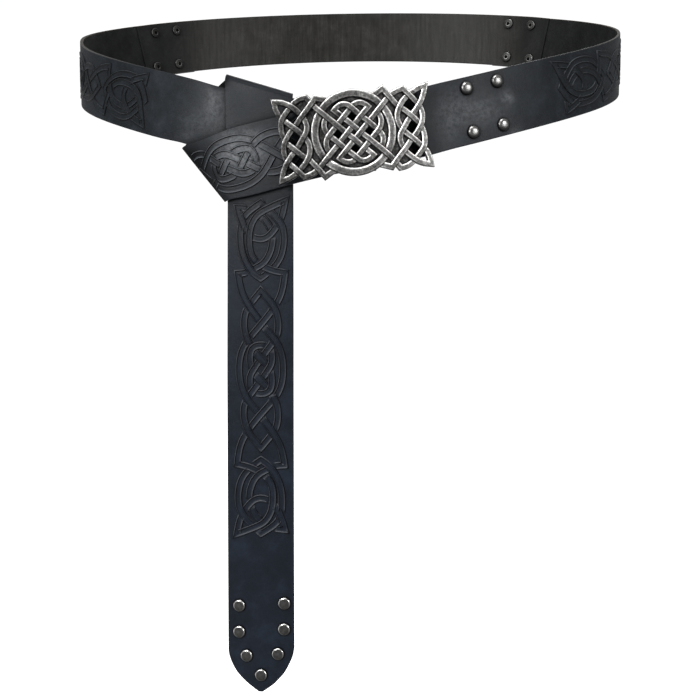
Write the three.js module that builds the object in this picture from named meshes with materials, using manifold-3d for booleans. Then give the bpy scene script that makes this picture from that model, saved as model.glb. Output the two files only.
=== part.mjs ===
// Embossed leather ring belt, fastened with a looped knot at the front, with a pierced
// interlace buckle plate, domed rivets and a long hanging tail.
// Millimetres, +Z up. The origin is the middle of the waist loop; the front faces -Y.
import * as THREE from "three";
import { mergeVertices } from "three/addons/utils/BufferGeometryUtils.js";
import Module from "manifold-3d";

const wasm = await Module();
wasm.setup();

// Strap
const STRAP_WIDTH = 40.6;
const TAIL_WIDTH = 40.8;
const STRAP_THICK = 2.2;

// Waist loop: an ellipse in plan, its back higher than its front
const LOOP_HALF_WIDTH = 193.8;
const LOOP_HALF_DEPTH = 130.9;
const LOOP_RISE = 94.2;
const LOOP_SIDE_RISE = 3.06;
const FRONT_DIP = { depth: 21.1, at: -13.6, reach: 114.2 };

// Where the three lengths of leather lap, as angles round the loop's plan
const LAP_RIGHT = 43.2;
const LAP_LEFT = 141.4;
const LAP_OFFSET = 1.45;
const LAP_END = 12;

// The middle of the rivets on the right strap, along the loop
const FRONT_RIVETS_AT = 84.6;

// How many stations each part of a strap has
const STRAP_STEPS = { tail: 30, back: 9, under: 4, down: 5, right: 28, flap: 12, rear: 34 };
const TURN_STEPS = 8;

// Layers of the knot, outwards from the middle of the loop's wall
const LAYER = { under: -1.45, strap: 1.35, down: 4.15, over: 6.95 };

// The hanging part leans forward below this height, by this much per mm of drop
const HANG_TOP = -112;
const HANG_LEAN = 0.035;

// Rivets
// A group's columns follow the strap's slope by these shares only
const RIVET = { along: 21, across: 26.8, gap: 0.3, shank: 1.25, sides: 10 };
const COLUMN_LEAN = { lap: 0.3, front: 0.7 };
const HOLE = { radius: 1.6, reach: 6, sides: 8 };
const DOME = { radius: 3.95, height: 2.3, back: 3.9, backThick: 1.2, eye: 1.3, eyeDepth: 0.9 };
const CAP = { radius: 3.9, height: 1.3, slope: 0.8, back: 3.5, backThick: 0.9 };

// Buckle plate: bent about its upright axis and turned a little from the front
const PLATE = {
  centre: [2.15, -144, -70.7], roll: 6.8, yaw: 4, pitch: 1.5, bend: 210, scale: 0.97,
};
const WEB = { thick: 1.5, edge: 0.5, halfWidth: 50, halfHeight: 27, steps: 12 };
const CUT = { outline: [-9, 14], gap: [-2, 5] };
const STRAND = { width: 2.95, crest: 1.5, low: 2.2, high: 3.8 };
const RING = { radius: 23.8, width: 4.7, crest: 3.1, base: 0.25, steps: 36 };

// Hidden rods behind the plate: the ends of the two straps go round them
const ROD = { radius: 2, gap: 0.4, reach: 22.3, leg: 1.1, foot: 1, sides: 8 };
const ROD_TURN = { s: 12.1, z: -69.5, n: 6.5, plateU: 10.3, plateV: 23, drift: 0.09 };
const ROD_FIXED = { s: 22.5, z: -68.3, n: 5.7, plateU: 21.1, plateV: 23.2, drift: 0.03 };
const ROD_BEND = ROD.radius + ROD.gap + STRAP_THICK / 2;

const RAD = Math.PI / 180;
const mix = (a, b, t) => a + (b - a) * t;
const mixPoint = (a, b, t) => a.map((v, i) => mix(v, b[i], t));
const smooth = (t) => {
  const c = Math.min(1, Math.max(0, t));
  return c * c * (3 - 2 * c);
};

// The wall of the waist loop: s runs along it from the middle of the front, to the right in
// a front view. A point in wall space is [s, z, n]: along, height, and distance outwards.
const loopPlan = (a) => [LOOP_HALF_WIDTH * Math.cos(a), LOOP_HALF_DEPTH * Math.sin(a)];

function measureLoop(steps) {
  const table = [0];
  for (let i = 1; i <= steps; i++) {
    const a = loopPlan(((i - 1) / steps - 0.25) * 2 * Math.PI);
    const b = loopPlan((i / steps - 0.25) * 2 * Math.PI);
    table.push(table[i - 1] + Math.hypot(b[0] - a[0], b[1] - a[1]));
  }
  return table;
}

const LOOP_STEPS = 1440;
const loopTable = measureLoop(LOOP_STEPS);
const LOOP_LENGTH = loopTable[LOOP_STEPS];

function angleAt(s) {
  const d = ((s % LOOP_LENGTH) + LOOP_LENGTH) % LOOP_LENGTH;
  let lo = 0;
  let hi = LOOP_STEPS;
  while (hi - lo > 1) {
    const mid = (lo + hi) >> 1;
    if (loopTable[mid] <= d) lo = mid;
    else hi = mid;
  }
  const share = (d - loopTable[lo]) / (loopTable[hi] - loopTable[lo]);
  return ((lo + share) / LOOP_STEPS - 0.25) * 2 * Math.PI;
}

const lengthAt = (degrees) => loopTable[Math.round((degrees / 360 + 0.25) * LOOP_STEPS)];

function wallNormal(s) {
  const a = angleAt(s);
  const n = [Math.cos(a) / LOOP_HALF_WIDTH, Math.sin(a) / LOOP_HALF_DEPTH];
  const l = Math.hypot(...n);
  return [n[0] / l, n[1] / l];
}

function wallPoint([s, z, n]) {
  const [x, y] = loopPlan(angleAt(s));
  const [nx, ny] = wallNormal(s);
  return [x + nx * n, y + ny * n, z];
}

// Height of the belt's centre line round the loop
function loopHeight(s) {
  const [x, y] = loopPlan(angleAt(s));
  const back = (y + LOOP_HALF_DEPTH) / (2 * LOOP_HALF_DEPTH);
  const front = y < 0 ? 1 - Math.pow(1 + y / LOOP_HALF_DEPTH, 6) : 0;
  const bell = Math.exp(-Math.pow((x - FRONT_DIP.at) / FRONT_DIP.reach, 2));
  const side = LOOP_SIDE_RISE * x / LOOP_HALF_WIDTH;
  return LOOP_RISE * (back - 0.5) - FRONT_DIP.depth * front * bell + side;
}

// A smooth height line through rows of { s, z }
const LINE_STEPS = 120;

function lineThrough(rows) {
  const knots = rows.map((r) => new THREE.Vector3(r.s, r.z, 0));
  const found = new THREE.CatmullRomCurve3(knots, false, "centripetal").getPoints(LINE_STEPS);
  return (s) => {
    let i = 0;
    while (i < found.length - 2 && found[i + 1].x < s) i++;
    return mix(found[i].y, found[i + 1].y, (s - found[i].x) / (found[i + 1].x - found[i].x));
  };
}

// The tail's strap is eased up and outwards a little where it passes the low fold
const EASE = { s: -105, reach: 14, up: 1.2, out: 0.8 };
const easeAt = (s) => Math.exp(-(((s - EASE.s) / EASE.reach) ** 2));

// The tail's strap where it crosses the front
const frontLine = lineThrough([
  { s: -170, z: loopHeight(-170) },
  { s: -155, z: loopHeight(-155) },
  { s: -140, z: loopHeight(-140) },
  { s: -120, z: -49.0 },
  { s: -103, z: -54.0 },
  { s: -87, z: -59.1 },
  { s: -60, z: -65.7 },
  { s: -35, z: -68.6 },
  { s: -10, z: -70.1 },
  { s: 14, z: -69.6 },
]);
const tailHeight = (s) => (s < -140 ? loopHeight(s) : frontLine(s));

// The right strap settles a little where it meets the buckle
const SETTLE = { from: 20, length: 45, drop: 2.2 };
const rightHeight = (s) =>
  loopHeight(s) - SETTLE.drop * (1 - smooth((s - SETTLE.from) / SETTLE.length));

// Straps: a station is one line across the strap, from its low edge to its top edge in wall
// space, and the way that one face of the leather looks there.
function crossStation(height, s, width, n, side) {
  const lean = Math.atan(height(s + 0.5) - height(s - 0.5));
  const ds = Math.sin(lean) * width / 2;
  const dz = Math.cos(lean) * width / 2;
  return { top: [s - ds, height(s) + dz, n], low: [s + ds, height(s) - dz, n], side };
}

function crossStations(height, from, to, count, width, level, side) {
  const rows = [];
  for (let i = 0; i <= count; i++) {
    const s = mix(from, to, i / count);
    rows.push(crossStation(height, s, width, level(s), [0, 0, side]));
  }
  return rows;
}

// Half a turn of the strap about a line in the wall. top and low are where the two edges
// pass the axis; out points to the turn's outside; start is 1 when the turn begins
// inside the wall and -1 when it begins outside.
function turnStations({ top, low, out, n, radius, start, drift, steps }) {
  const length = Math.hypot(low[0] - top[0], low[1] - top[1]);
  const dir = [(low[0] - top[0]) / length, (low[1] - top[1]) / length];
  const rows = [];
  for (let i = 0; i <= steps; i++) {
    const turn = Math.PI * i / steps;
    const reach = radius * Math.sin(turn);
    const slide = drift * radius * (turn - Math.PI / 2);
    const level = n - start * radius * Math.cos(turn);
    const at = (e) => [0, 1].map((k) => e[k] + out[k] * reach + dir[k] * slide).concat(level);
    const side = [-out[0] * Math.sin(turn), -out[1] * Math.sin(turn), start * Math.cos(turn)];
    rows.push({ top: at(top), low: at(low), side });
  }
  return rows;
}

// Stations between two others, on straight edges
function between(a, b, count) {
  const rows = [];
  for (let i = 1; i <= count; i++) {
    const t = i / (count + 1);
    const side = mixPoint(a.side, b.side, t);
    rows.push({ top: mixPoint(a.top, b.top, t), low: mixPoint(a.low, b.low, t), side });
  }
  return rows;
}

// Removes what only shading needs, joins shared vertices and drops empty triangles
function weld(geometry) {
  geometry.deleteAttribute("normal");
  geometry.deleteAttribute("uv");
  const g = mergeVertices(geometry, 1e-5);
  const index = Array.from(g.index.array);
  const kept = [];
  for (let i = 0; i < index.length; i += 3) {
    const [a, b, c] = index.slice(i, i + 3);
    if (a !== b && b !== c && c !== a) kept.push(a, b, c);
  }
  g.setIndex(kept);
  return g;
}

function reshape(geometry, move) {
  const p = geometry.attributes.position;
  for (let i = 0; i < p.count; i++) p.setXYZ(i, ...move(p.getX(i), p.getY(i), p.getZ(i)));
  return weld(geometry);
}

// A box with a row of vertices at each station, bent to follow them
function strapGeometry(stations, acrossSteps) {
  const spans = stations.length - 1;
  return reshape(new THREE.BoxGeometry(1, 1, 1, spans, acrossSteps, 1), (x, y, z) => {
    const st = stations[Math.round((x + 0.5) * spans)];
    const at = mixPoint(st.low, st.top, y + 0.5);
    return wallPoint(at.map((v, k) => v + st.side[k] * z * STRAP_THICK));
  });
}

function toSolid(geometry) {
  return new wasm.Manifold(new wasm.Mesh({
    numProp: 3,
    vertProperties: new Float32Array(geometry.attributes.position.array),
    triVerts: new Uint32Array(geometry.index.array),
  }));
}

function fromSolid(solid) {
  const m = solid.getMesh();
  const g = new THREE.BufferGeometry();
  g.setAttribute("position", new THREE.BufferAttribute(new Float32Array(m.vertProperties), 3));
  g.setIndex(new THREE.BufferAttribute(new Uint32Array(m.triVerts), 1));
  return g;
}

// A round bar between two points
function bar(from, to, radius, sides) {
  const a = new THREE.Vector3(...from);
  const b = new THREE.Vector3(...to);
  const g = new THREE.CylinderGeometry(radius, radius, a.distanceTo(b), sides, 1);
  const up = new THREE.Vector3(0, 1, 0);
  g.applyQuaternion(new THREE.Quaternion().setFromUnitVectors(up, b.clone().sub(a).normalize()));
  g.translate((a.x + b.x) / 2, (a.y + b.y) / 2, (a.z + b.z) / 2);
  return weld(g);
}

// A rivet's place and the way that its head looks; a spot's lean tips the head upwards
function rivetAxis({ s, z, n, lean }) {
  const facing = new THREE.Vector3(...wallNormal(s), lean).normalize();
  return { at: new THREE.Vector3(...wallPoint([s, z, n])), facing };
}

function pierced(geometry, spots) {
  let solid = toSolid(geometry);
  for (const spot of spots) {
    const { at, facing } = rivetAxis(spot);
    const way = facing.clone().multiplyScalar(HOLE.reach);
    const from = at.clone().sub(way).toArray();
    const to = at.clone().add(way).toArray();
    solid = solid.subtract(toSolid(bar(from, to, HOLE.radius, HOLE.sides)));
  }
  return fromSolid(solid);
}

// Rivets: a two by two group about a place on the loop
function rivetGroup(middle, height, columnShare) {
  const lean = Math.atan((height(middle + 1) - height(middle - 1)) / 2);
  const columnLean = lean * columnShare;
  const spots = [];
  for (const along of [-RIVET.along / 2, RIVET.along / 2]) {
    for (const across of [RIVET.across / 2, -RIVET.across / 2]) {
      spots.push({
        s: middle + along * Math.cos(lean) - across * Math.sin(columnLean),
        z: height(middle) + along * Math.sin(lean) + across * Math.cos(columnLean),
        n: 0,
        lean: 0,
      });
    }
  }
  return spots;
}

// The dome's curve, as shares of its radius and height
const DOME_ROWS = [
  { radius: 1, height: 0 }, { radius: 0.86, height: 0.6 }, { radius: 0.5, height: 0.93 },
  { radius: 0, height: 1 },
];

// Profiles run from the middle of the back to the middle of the head; half is half the
// thickness of the leather that the rivet holds.
function domeProfile(half) {
  const face = half + RIVET.gap;
  const back = face + DOME.backThick;
  return [
    [0, DOME.eyeDepth - back], [DOME.eye, DOME.eyeDepth - back], [DOME.eye, -back],
    [DOME.back, -face], [RIVET.shank, -face], [RIVET.shank, face],
    ...DOME_ROWS.map((r) => [DOME.radius * r.radius, face + DOME.height * r.height]),
  ];
}

function capProfile(half) {
  const face = half + RIVET.gap;
  return [
    [0, -face - CAP.backThick], [CAP.back, -face - CAP.backThick], [CAP.back, -face],
    [RIVET.shank, -face], [RIVET.shank, face], [CAP.radius, face],
    [CAP.radius - CAP.slope, face + CAP.height], [0, face + CAP.height],
  ];
}

function rivetGeometry(profile) {
  return weld(new THREE.LatheGeometry(profile.map((p) => new THREE.Vector2(...p)), RIVET.sides));
}

// The two rods lie along the plate's upright axis
const ROD_AXIS = [-Math.sin(PLATE.roll * RAD), Math.cos(PLATE.roll * RAD)];
const rodEdge = (rod, across) => [rod.s + ROD_AXIS[0] * across, rod.z + ROD_AXIS[1] * across];

function rodTurn(rod, width, start) {
  const out = [ROD_AXIS[1] * start, -ROD_AXIS[0] * start];
  const top = rodEdge(rod, width / 2);
  const low = rodEdge(rod, -width / 2);
  const { n, drift } = rod;
  return turnStations({ top, low, out, n, radius: ROD_BEND, start, drift, steps: TURN_STEPS });
}

// The low fold wraps the strap's under edge, the top fold its upper edge. Both are given
// by the outermost line of the leather there.
const FOLD_LOW = {
  top: [-107.3, -76.2], low: [-78.2, -110.3], radius: (LAYER.over - LAYER.under) / 2, drift: -0.42,
};
const FOLD_TOP = {
  top: [-76.6, -32.1], low: [-34.6, -45.3], radius: (LAYER.down - LAYER.under) / 2, drift: 0.31,
};

function foldTurn({ top, low, radius, drift }, start) {
  const length = Math.hypot(low[0] - top[0], low[1] - top[1]);
  const dir = [(low[0] - top[0]) / length, (low[1] - top[1]) / length];
  const out = [-dir[1] * start, dir[0] * start];
  const axis = (e) => e.map((v, k) => v - out[k] * (radius + STRAP_THICK / 2));
  return turnStations({
    top: axis(top),
    low: axis(low),
    out,
    n: LAYER.under + radius,
    radius,
    start,
    drift,
    steps: TURN_STEPS,
  });
}

// From the buckle back over the front, on two curved edges
const RETURN_TOP = [
  { s: -92.6, z: -72.8 }, { s: -71.5, z: -66.0 }, { s: -44, z: -60.3 }, { s: -20, z: -55.2 },
];
const RETURN_LOW = [{ s: -60, z: -106.9 }, { s: -38.8, z: -101.5 }, { s: -14, z: -95.8 }];
const RETURN_RISE = 2 / 3;

function returnStations(from, to, count) {
  const end = (p) => ({ s: p[0], z: p[1] });
  const topLine = lineThrough([end(to.top), ...RETURN_TOP, end(from.top)]);
  const lowLine = lineThrough([end(to.low), ...RETURN_LOW, end(from.low)]);
  const rows = [];
  for (let i = 1; i <= count; i++) {
    const t = i / (count + 1);
    const n = mix(from.top[2], LAYER.over, smooth(t / RETURN_RISE));
    const top = mix(from.top[0], to.top[0], t);
    const low = mix(from.low[0], to.low[0], t);
    rows.push({ top: [top, topLine(top), n], low: [low, lowLine(low), n], side: [0, 0, -1] });
  }
  return rows;
}

// The hanging part: each row gives the two edges' places along the wall and their heights
const HANG_ROWS = [
  { left: -75.5, right: -34.5, zLeft: -112, zRight: -112 },
  { left: -75.7, right: -34.4, zLeft: -165, zRight: -165 },
  { left: -75.4, right: -34.2, zLeft: -220, zRight: -220 },
  { left: -75.1, right: -34.0, zLeft: -275, zRight: -275 },
  { left: -74.7, right: -33.8, zLeft: -330, zRight: -330 },
  { left: -74.2, right: -33.5, zLeft: -393.5, zRight: -389 },
  { left: -72.3, right: -35.4, zLeft: -400.5, zRight: -397.5 },
  { left: -68.6, right: -39.4, zLeft: -407, zRight: -405.5 },
  { left: -62.6, right: -45.1, zLeft: -413, zRight: -412.4 },
  { left: -57.4, right: -50.2, zLeft: -416.8, zRight: -416.6 },
  { left: -54.4, right: -53.2, zLeft: -418.5, zRight: -418.5 },
];
const hangLevel = (z) => LAYER.down + Math.max(0, HANG_TOP - z) * HANG_LEAN;

// The tail's strap sinks towards its rod from here, and ends this far before the rod
const SINK_FROM = -30;
const TURN_LEAD = 6;

function tailStations() {
  const first = lengthAt(LAP_LEFT) - LOOP_LENGTH - RIVET.along / 2 - LAP_END;
  const last = ROD_TURN.s - TURN_LEAD;
  const rodLevel = ROD_TURN.n - ROD_BEND;
  const sink = (s) => smooth((s - SINK_FROM) / (last - SINK_FROM));
  const level = (s) => mix(LAYER.strap, rodLevel, sink(s)) + EASE.out * easeAt(s);
  const strap = crossStations(tailHeight, first, last, STRAP_STEPS.tail, TAIL_WIDTH, level, 1);
  for (const { low } of strap) low[1] += EASE.up * easeAt(low[0]);
  const turn = rodTurn(ROD_TURN, TAIL_WIDTH, 1);
  const low = foldTurn(FOLD_LOW, -1);
  const top = foldTurn(FOLD_TOP, 1);
  const back = returnStations(turn[turn.length - 1], low[0], STRAP_STEPS.back);
  const under = between(low[low.length - 1], top[0], STRAP_STEPS.under);
  const hang = HANG_ROWS.map((r) => ({
    top: [r.left, r.zLeft, hangLevel(r.zLeft)],
    low: [r.right, r.zRight, hangLevel(r.zRight)],
    side: [0, 0, -1],
  }));
  const down = between(top[top.length - 1], hang[0], STRAP_STEPS.down);
  return [...strap, ...turn, ...back, ...low, ...under, ...top, ...down, ...hang];
}

const TAIL_RIVETS = [
  { s: -67.1, z: -364.1 }, { s: -39.3, z: -360.9 }, { s: -67.1, z: -380.9 },
  { s: -39.4, z: -377.3 }, { s: -62.4, z: -395.8 }, { s: -43.1, z: -393.2 },
  { s: -53.4, z: -407.5 },
];

// The right length of leather runs from the right lap round the fixed rod, and its
// outer and inner layers ease towards the rod over these lengths
const RIGHT_EASE = { lead: 2.5, outer: 40, inner: 34 };

function rightStations() {
  const first = lengthAt(LAP_RIGHT) + RIVET.along / 2 + LAP_END;
  const last = ROD_FIXED.s + RIGHT_EASE.lead;
  const flap = FRONT_RIVETS_AT + RIVET.along / 2 + LAP_END;
  const near = ROD_FIXED.n + ROD_BEND;
  const far = ROD_FIXED.n - ROD_BEND;
  const outerShare = (s) => Math.max(0, 1 - (s - last) / RIGHT_EASE.outer) ** 2;
  const outer = (s) => mix(LAP_OFFSET, near, outerShare(s));
  const inner = (s) => mix(far, -LAP_OFFSET, smooth((s - last) / RIGHT_EASE.inner));
  return [
    ...crossStations(rightHeight, first, last, STRAP_STEPS.right, STRAP_WIDTH, outer, -1),
    ...rodTurn(ROD_FIXED, STRAP_WIDTH, -1),
    ...crossStations(rightHeight, last, flap, STRAP_STEPS.flap, STRAP_WIDTH, inner, 1),
  ];
}

// The rear length is inside the other two at the laps
function rearStations() {
  const from = lengthAt(LAP_RIGHT) - RIVET.along / 2 - LAP_END;
  const to = lengthAt(LAP_LEFT) + RIVET.along / 2 + LAP_END;
  const level = () => -LAP_OFFSET;
  return crossStations(loopHeight, from, to, STRAP_STEPS.rear, STRAP_WIDTH, level, 1);
}

// Buckle plate
function turned(p, q, degrees) {
  const c = Math.cos(degrees * RAD);
  const s = Math.sin(degrees * RAD);
  return [p * c - q * s, p * s + q * c];
}

// u and v lie across and up the plate's pattern, w stands out from its back.
function platePoint(u, v, w) {
  const a = u * PLATE.scale / PLATE.bend;
  let x = (PLATE.bend + w) * Math.sin(a);
  let y = PLATE.bend - (PLATE.bend + w) * Math.cos(a);
  let z = v * PLATE.scale;
  [x, z] = turned(x, z, PLATE.roll);
  [y, z] = turned(y, z, PLATE.pitch);
  [x, y] = turned(x, y, PLATE.yaw);
  return [x, y, z].map((k, i) => k + PLATE.centre[i]);
}

// The interlace: each row of a run is a bend or a crossing, [u, v, up], where up is 1 if
// the run passes over, 0 if it passes under and in between elsewhere. The plate's other
// half is the same runs after half a turn.
const RUNS = {
  fallLong: { base: 0.4, rows: [
    [-13, -20.4, 0], [-20.3, -24.6, 0.5], [-23.8, -19.6, 1], [-29.6, -12.8, 0],
    [-36.5, -6.6, 1], [-42.4, -0.6, 0], [-44.1, 7, 0.6], [-42.7, 13.2, 1], [-36.3, 20.2, 0],
    [-33.5, 22.4, 0.5], [-26.6, 24.3, 0.5], [-23.6, 20, 0], [-18.8, 14.6, 1],
    [-9.7, 5.5, 1], [-4.2, 0, 0], [0, -4.2, 1], [6.3, -10.5, 0],
  ] },
  fallShort: { base: 0.4, rows: [
    [5, -9.2, 0], [10.4, -14.6, 0.6], [7.6, -17, 0.6], [4.1, -17.6, 0.6], [0, -15.2, 1],
    [-5.5, -9.7, 0], [-9.7, -5.5, 1], [-15.2, 0, 0], [-17.7, 4.5, 0.6], [-17.1, 8.6, 0.5],
    [-15.2, 11, 0],
  ] },
  riseLong: { base: 0.55, rows: [
    [-12.6, 20.3, 0], [-21.2, 23.3, 0.6], [-23.6, 20, 1], [-30, 13.6, 1], [-36, 7, 0],
    [-42.4, -0.6, 1], [-44.1, -6.8, 0.6], [-42.5, -13.2, 0], [-36.3, -19.5, 1],
    [-33, -23.5, 0.6], [-27, -21.6, 0.5], [-23.8, -19.6, 0], [-18.8, -14.6, 1],
    [-9.7, -5.5, 0], [-4.2, 0, 1], [0.7, 4.9, 0],
  ] },
  riseShort: { base: 0.55, rows: [
    [-0.6, 3.6, 0], [5.5, 9.7, 1], [10.4, 14.6, 0.6], [7.6, 17, 0.6], [4.1, 17.6, 0.5],
    [0, 15.2, 0], [-5.5, 9.7, 1], [-9.7, 5.5, 0], [-15.2, 0, 1], [-17.7, -4.5, 0.6],
    [-17.1, -8.6, 0.4], [-15.2, -11, 0],
  ] },
  cornerLong: { base: 0.7, rows: [
    [-29.6, 13.1, 0], [-36.3, 20.2, 1], [-40.6, 22.5, 0.6], [-47.3, 24.3, 0.6],
    [-45.6, 17.4, 0.5], [-42.7, 13.2, 0], [-36, 7, 1], [-30.4, 1.2, 0], [-28.2, -2.5, 0.6],
    [-27.6, -7.4, 0.6], [-29.6, -12.8, 1], [-36.3, -19.5, 0], [-41, -22.3, 0.6],
    [-47.3, -24, 0.6], [-45.4, -18.2, 0.7], [-42.5, -13.2, 1], [-36, -6, 0],
  ] },
  cornerShort: { base: 0.85, rows: [
    [-30.6, 14.2, 0], [-28.2, 9.5, 0.5], [-28.1, 5, 0.6], [-30.4, 1.2, 1], [-37, -7.1, 0],
  ] },
};

// How high the round band stands, by degrees from the plate's long axis
const RING_ROWS = [
  { at: 0, up: 0.5 }, { at: 24, up: 0.5 }, { at: 37.8, up: 0 }, { at: 57.7, up: 1 },
  { at: 76, up: 0.5 }, { at: 90, up: 0.5 },
];

// Openings cut through the web, by their corners under the strands
const GAPS = [
  [[-47.3, 24.3], [-40.6, 22.5], [-36.3, 20.2], [-42.7, 13.2], [-45.6, 17.4]],
  [[-36.3, 20.2], [-30, 13.6], [-36, 7], [-42.7, 13.2]],
  [[-36, 7], [-30.4, 1.2], [-36.5, -6.6], [-42.4, -0.6]],
  [[-36.5, -6.6], [-29.6, -12.8], [-36.3, -19.5], [-42.5, -13.2]],
  [[-42.5, -13.2], [-36.3, -19.5], [-41, -22.3], [-47.3, -24], [-45.4, -18.2]],
  [[0, 15.2], [5.5, 9.7], [0, 4.2], [-5.5, 9.7]],
  [[-15.2, 0], [-9.7, 5.5], [-4.2, 0], [-9.7, -5.5]],
];

// Half of the web's outline, round the left side
const OUTLINE = [
  [-13, -20], [-20.3, -24.6], [-23.8, -19.6], [-27, -21.6], [-33, -23.5], [-36.3, -19.5],
  [-41, -22.3], [-47.3, -24], [-45.4, -18.2], [-42.5, -13.2], [-44.1, -6.8], [-42.4, -0.6],
  [-44.1, 7], [-42.7, 13.2], [-45.6, 17.4], [-47.3, 24.3], [-40.6, 22.5], [-36.3, 20.2],
  [-33.5, 22.4], [-26.6, 24.3], [-23.6, 20], [-21.2, 23.3], [-13, 20], [-6.7, 22.8],
  [0, 23.8], [6.7, 22.8],
];
const halfTurn = (rows) => rows.map(([u, v, up]) => [-u, -v, up]);
const strandTop = (up) => mix(STRAND.low, STRAND.high, up);

// Which way, and by how much, each corner of a line moves to shift the line by 1 to its left
function mitresOf(rows, closed) {
  const spans = closed ? rows.length : rows.length - 1;
  const left = [];
  for (let i = 0; i < spans; i++) {
    const next = rows[(i + 1) % rows.length];
    const [du, dv] = [next[0] - rows[i][0], next[1] - rows[i][1]];
    left.push([-dv / Math.hypot(du, dv), du / Math.hypot(du, dv)]);
  }
  return rows.map((row, i) => {
    const a = left[closed ? (i + spans - 1) % spans : Math.max(0, i - 1)];
    const b = left[Math.min(spans - 1, i)];
    const k = 1 + a[0] * b[0] + a[1] * b[1];
    return [(a[0] + b[0]) / k, (a[1] + b[1]) / k];
  });
}

// A strand along its run, with sloped sides
function strandGeometry(rows, base) {
  const spans = rows.length - 1;
  const mitres = mitresOf(rows, false);
  return reshape(new THREE.BoxGeometry(1, 1, 1, spans, 1, 1), (x, y, z) => {
    const i = Math.round((x + 0.5) * spans);
    const [u, v, up] = rows[i];
    const off = y * (z > 0 ? STRAND.crest : STRAND.width);
    const w = z > 0 ? strandTop(up) : base;
    return platePoint(u + mitres[i][0] * off, v + mitres[i][1] * off, w);
  });
}

function ringLevel(degrees) {
  const half = ((degrees % 180) + 180) % 180;
  const at = half > 90 ? 180 - half : half;
  let i = 0;
  while (i < RING_ROWS.length - 2 && RING_ROWS[i + 1].at < at) i++;
  const from = RING_ROWS[i];
  const to = RING_ROWS[i + 1];
  return mix(from.up, to.up, (at - from.at) / (to.at - from.at));
}

// The round band, with sloped sides too: a four-sided section carried round
function ringGeometry() {
  const g = new THREE.TorusGeometry(1, 0.4, 4, RING.steps);
  const uv = g.attributes.uv.array.slice();
  let vertex = 0;
  return reshape(g, () => {
    const angle = uv[vertex * 2] * 2 * Math.PI;
    const corner = Math.round(uv[vertex * 2 + 1] * 4) % 4;
    vertex += 1;
    const onTop = corner === 0 || corner === 1;
    const side = corner === 0 || corner === 3 ? 1 : -1;
    const r = RING.radius + side * (onTop ? RING.crest : RING.width) / 2;
    const w = onTop ? strandTop(ringLevel(angle / RAD)) : RING.base;
    return platePoint(r * Math.cos(angle), r * Math.sin(angle), w);
  });
}

// An upright prism through the plate over a closed outline, its sides moved to the left
function prism(rows, moved, [from, to]) {
  const mitres = mitresOf(rows, true);
  const corner = ([u, v], i) =>
    new THREE.Vector2(u + mitres[i][0] * moved, v + mitres[i][1] * moved);
  const shape = new THREE.Shape(rows.map(corner));
  const g = new THREE.ExtrudeGeometry(shape, { depth: to - from, bevelEnabled: false });
  return toSolid(reshape(g, (x, y, z) => platePoint(x, y, z + from)));
}

function plateGeometry() {
  const { halfWidth, halfHeight, thick, steps } = WEB;
  const sheet = reshape(new THREE.BoxGeometry(1, 1, 1, steps, 1, 1), (x, y, z) =>
    platePoint(x * 2 * halfWidth, y * 2 * halfHeight, (z + 0.5) * thick));
  const outline = prism([...OUTLINE, ...halfTurn(OUTLINE)], WEB.edge, CUT.outline);
  let solid = toSolid(sheet).intersect(outline);
  for (const gap of GAPS) {
    solid = solid.subtract(prism(gap, -WEB.edge, CUT.gap));
    solid = solid.subtract(prism(halfTurn(gap), -WEB.edge, CUT.gap));
  }
  solid = solid.add(toSolid(ringGeometry()));
  for (const { rows, base } of Object.values(RUNS)) {
    solid = solid.add(toSolid(strandGeometry(rows, base)));
    solid = solid.add(toSolid(strandGeometry(halfTurn(rows), base)));
  }
  for (const rod of [ROD_TURN, ROD_FIXED]) {
    const ends = [1, -1].map((k) => wallPoint([...rodEdge(rod, k * ROD.reach), rod.n]));
    const feet = [1, -1].map((k) => platePoint(rod.plateU, k * rod.plateV, ROD.foot));
    solid = solid.add(toSolid(bar(ends[0], ends[1], ROD.radius, ROD.sides)));
    solid = solid.add(toSolid(bar(ends[0], feet[0], ROD.leg, ROD.sides)));
    solid = solid.add(toSolid(bar(ends[1], feet[1], ROD.leg, ROD.sides)));
  }
  return fromSolid(solid);
}

// The belt
const leather = new THREE.MeshStandardMaterial({ color: 0x24262b, roughness: 0.48, metalness: 0 });
const silver = new THREE.MeshStandardMaterial({ color: 0x8c8c8e, roughness: 0.38, metalness: 1 });

const part = new THREE.Group();

function addPiece(name, geometry, material) {
  const mesh = new THREE.Mesh(geometry, material);
  mesh.name = name;
  part.add(mesh);
  return mesh;
}

function addRivets(name, profile, spots) {
  spots.forEach((spot, i) => {
    const mesh = addPiece(`${name}_${i + 1}`, rivetGeometry(profile), silver);
    const { at, facing } = rivetAxis(spot);
    mesh.quaternion.setFromUnitVectors(new THREE.Vector3(0, 1, 0), facing);
    mesh.position.copy(at);
  });
}

const leftGroup = rivetGroup(lengthAt(LAP_LEFT), loopHeight, COLUMN_LEAN.lap);
const rightGroup = rivetGroup(lengthAt(LAP_RIGHT), loopHeight, COLUMN_LEAN.lap);
const frontGroup = rivetGroup(FRONT_RIVETS_AT, rightHeight, COLUMN_LEAN.front);
const tailGroup = TAIL_RIVETS.map((r) => ({ ...r, n: hangLevel(r.z), lean: HANG_LEAN }));

function addStrap(name, stations, acrossSteps, spots) {
  addPiece(name, pierced(strapGeometry(stations, acrossSteps), spots), leather);
}

addStrap("strap_tail", tailStations(), 2, leftGroup.concat(tailGroup));
addStrap("strap_right", rightStations(), 1, rightGroup.concat(frontGroup));
addStrap("strap_rear", rearStations(), 1, leftGroup.concat(rightGroup));
addPiece("buckle_plate", plateGeometry(), silver);

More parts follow.
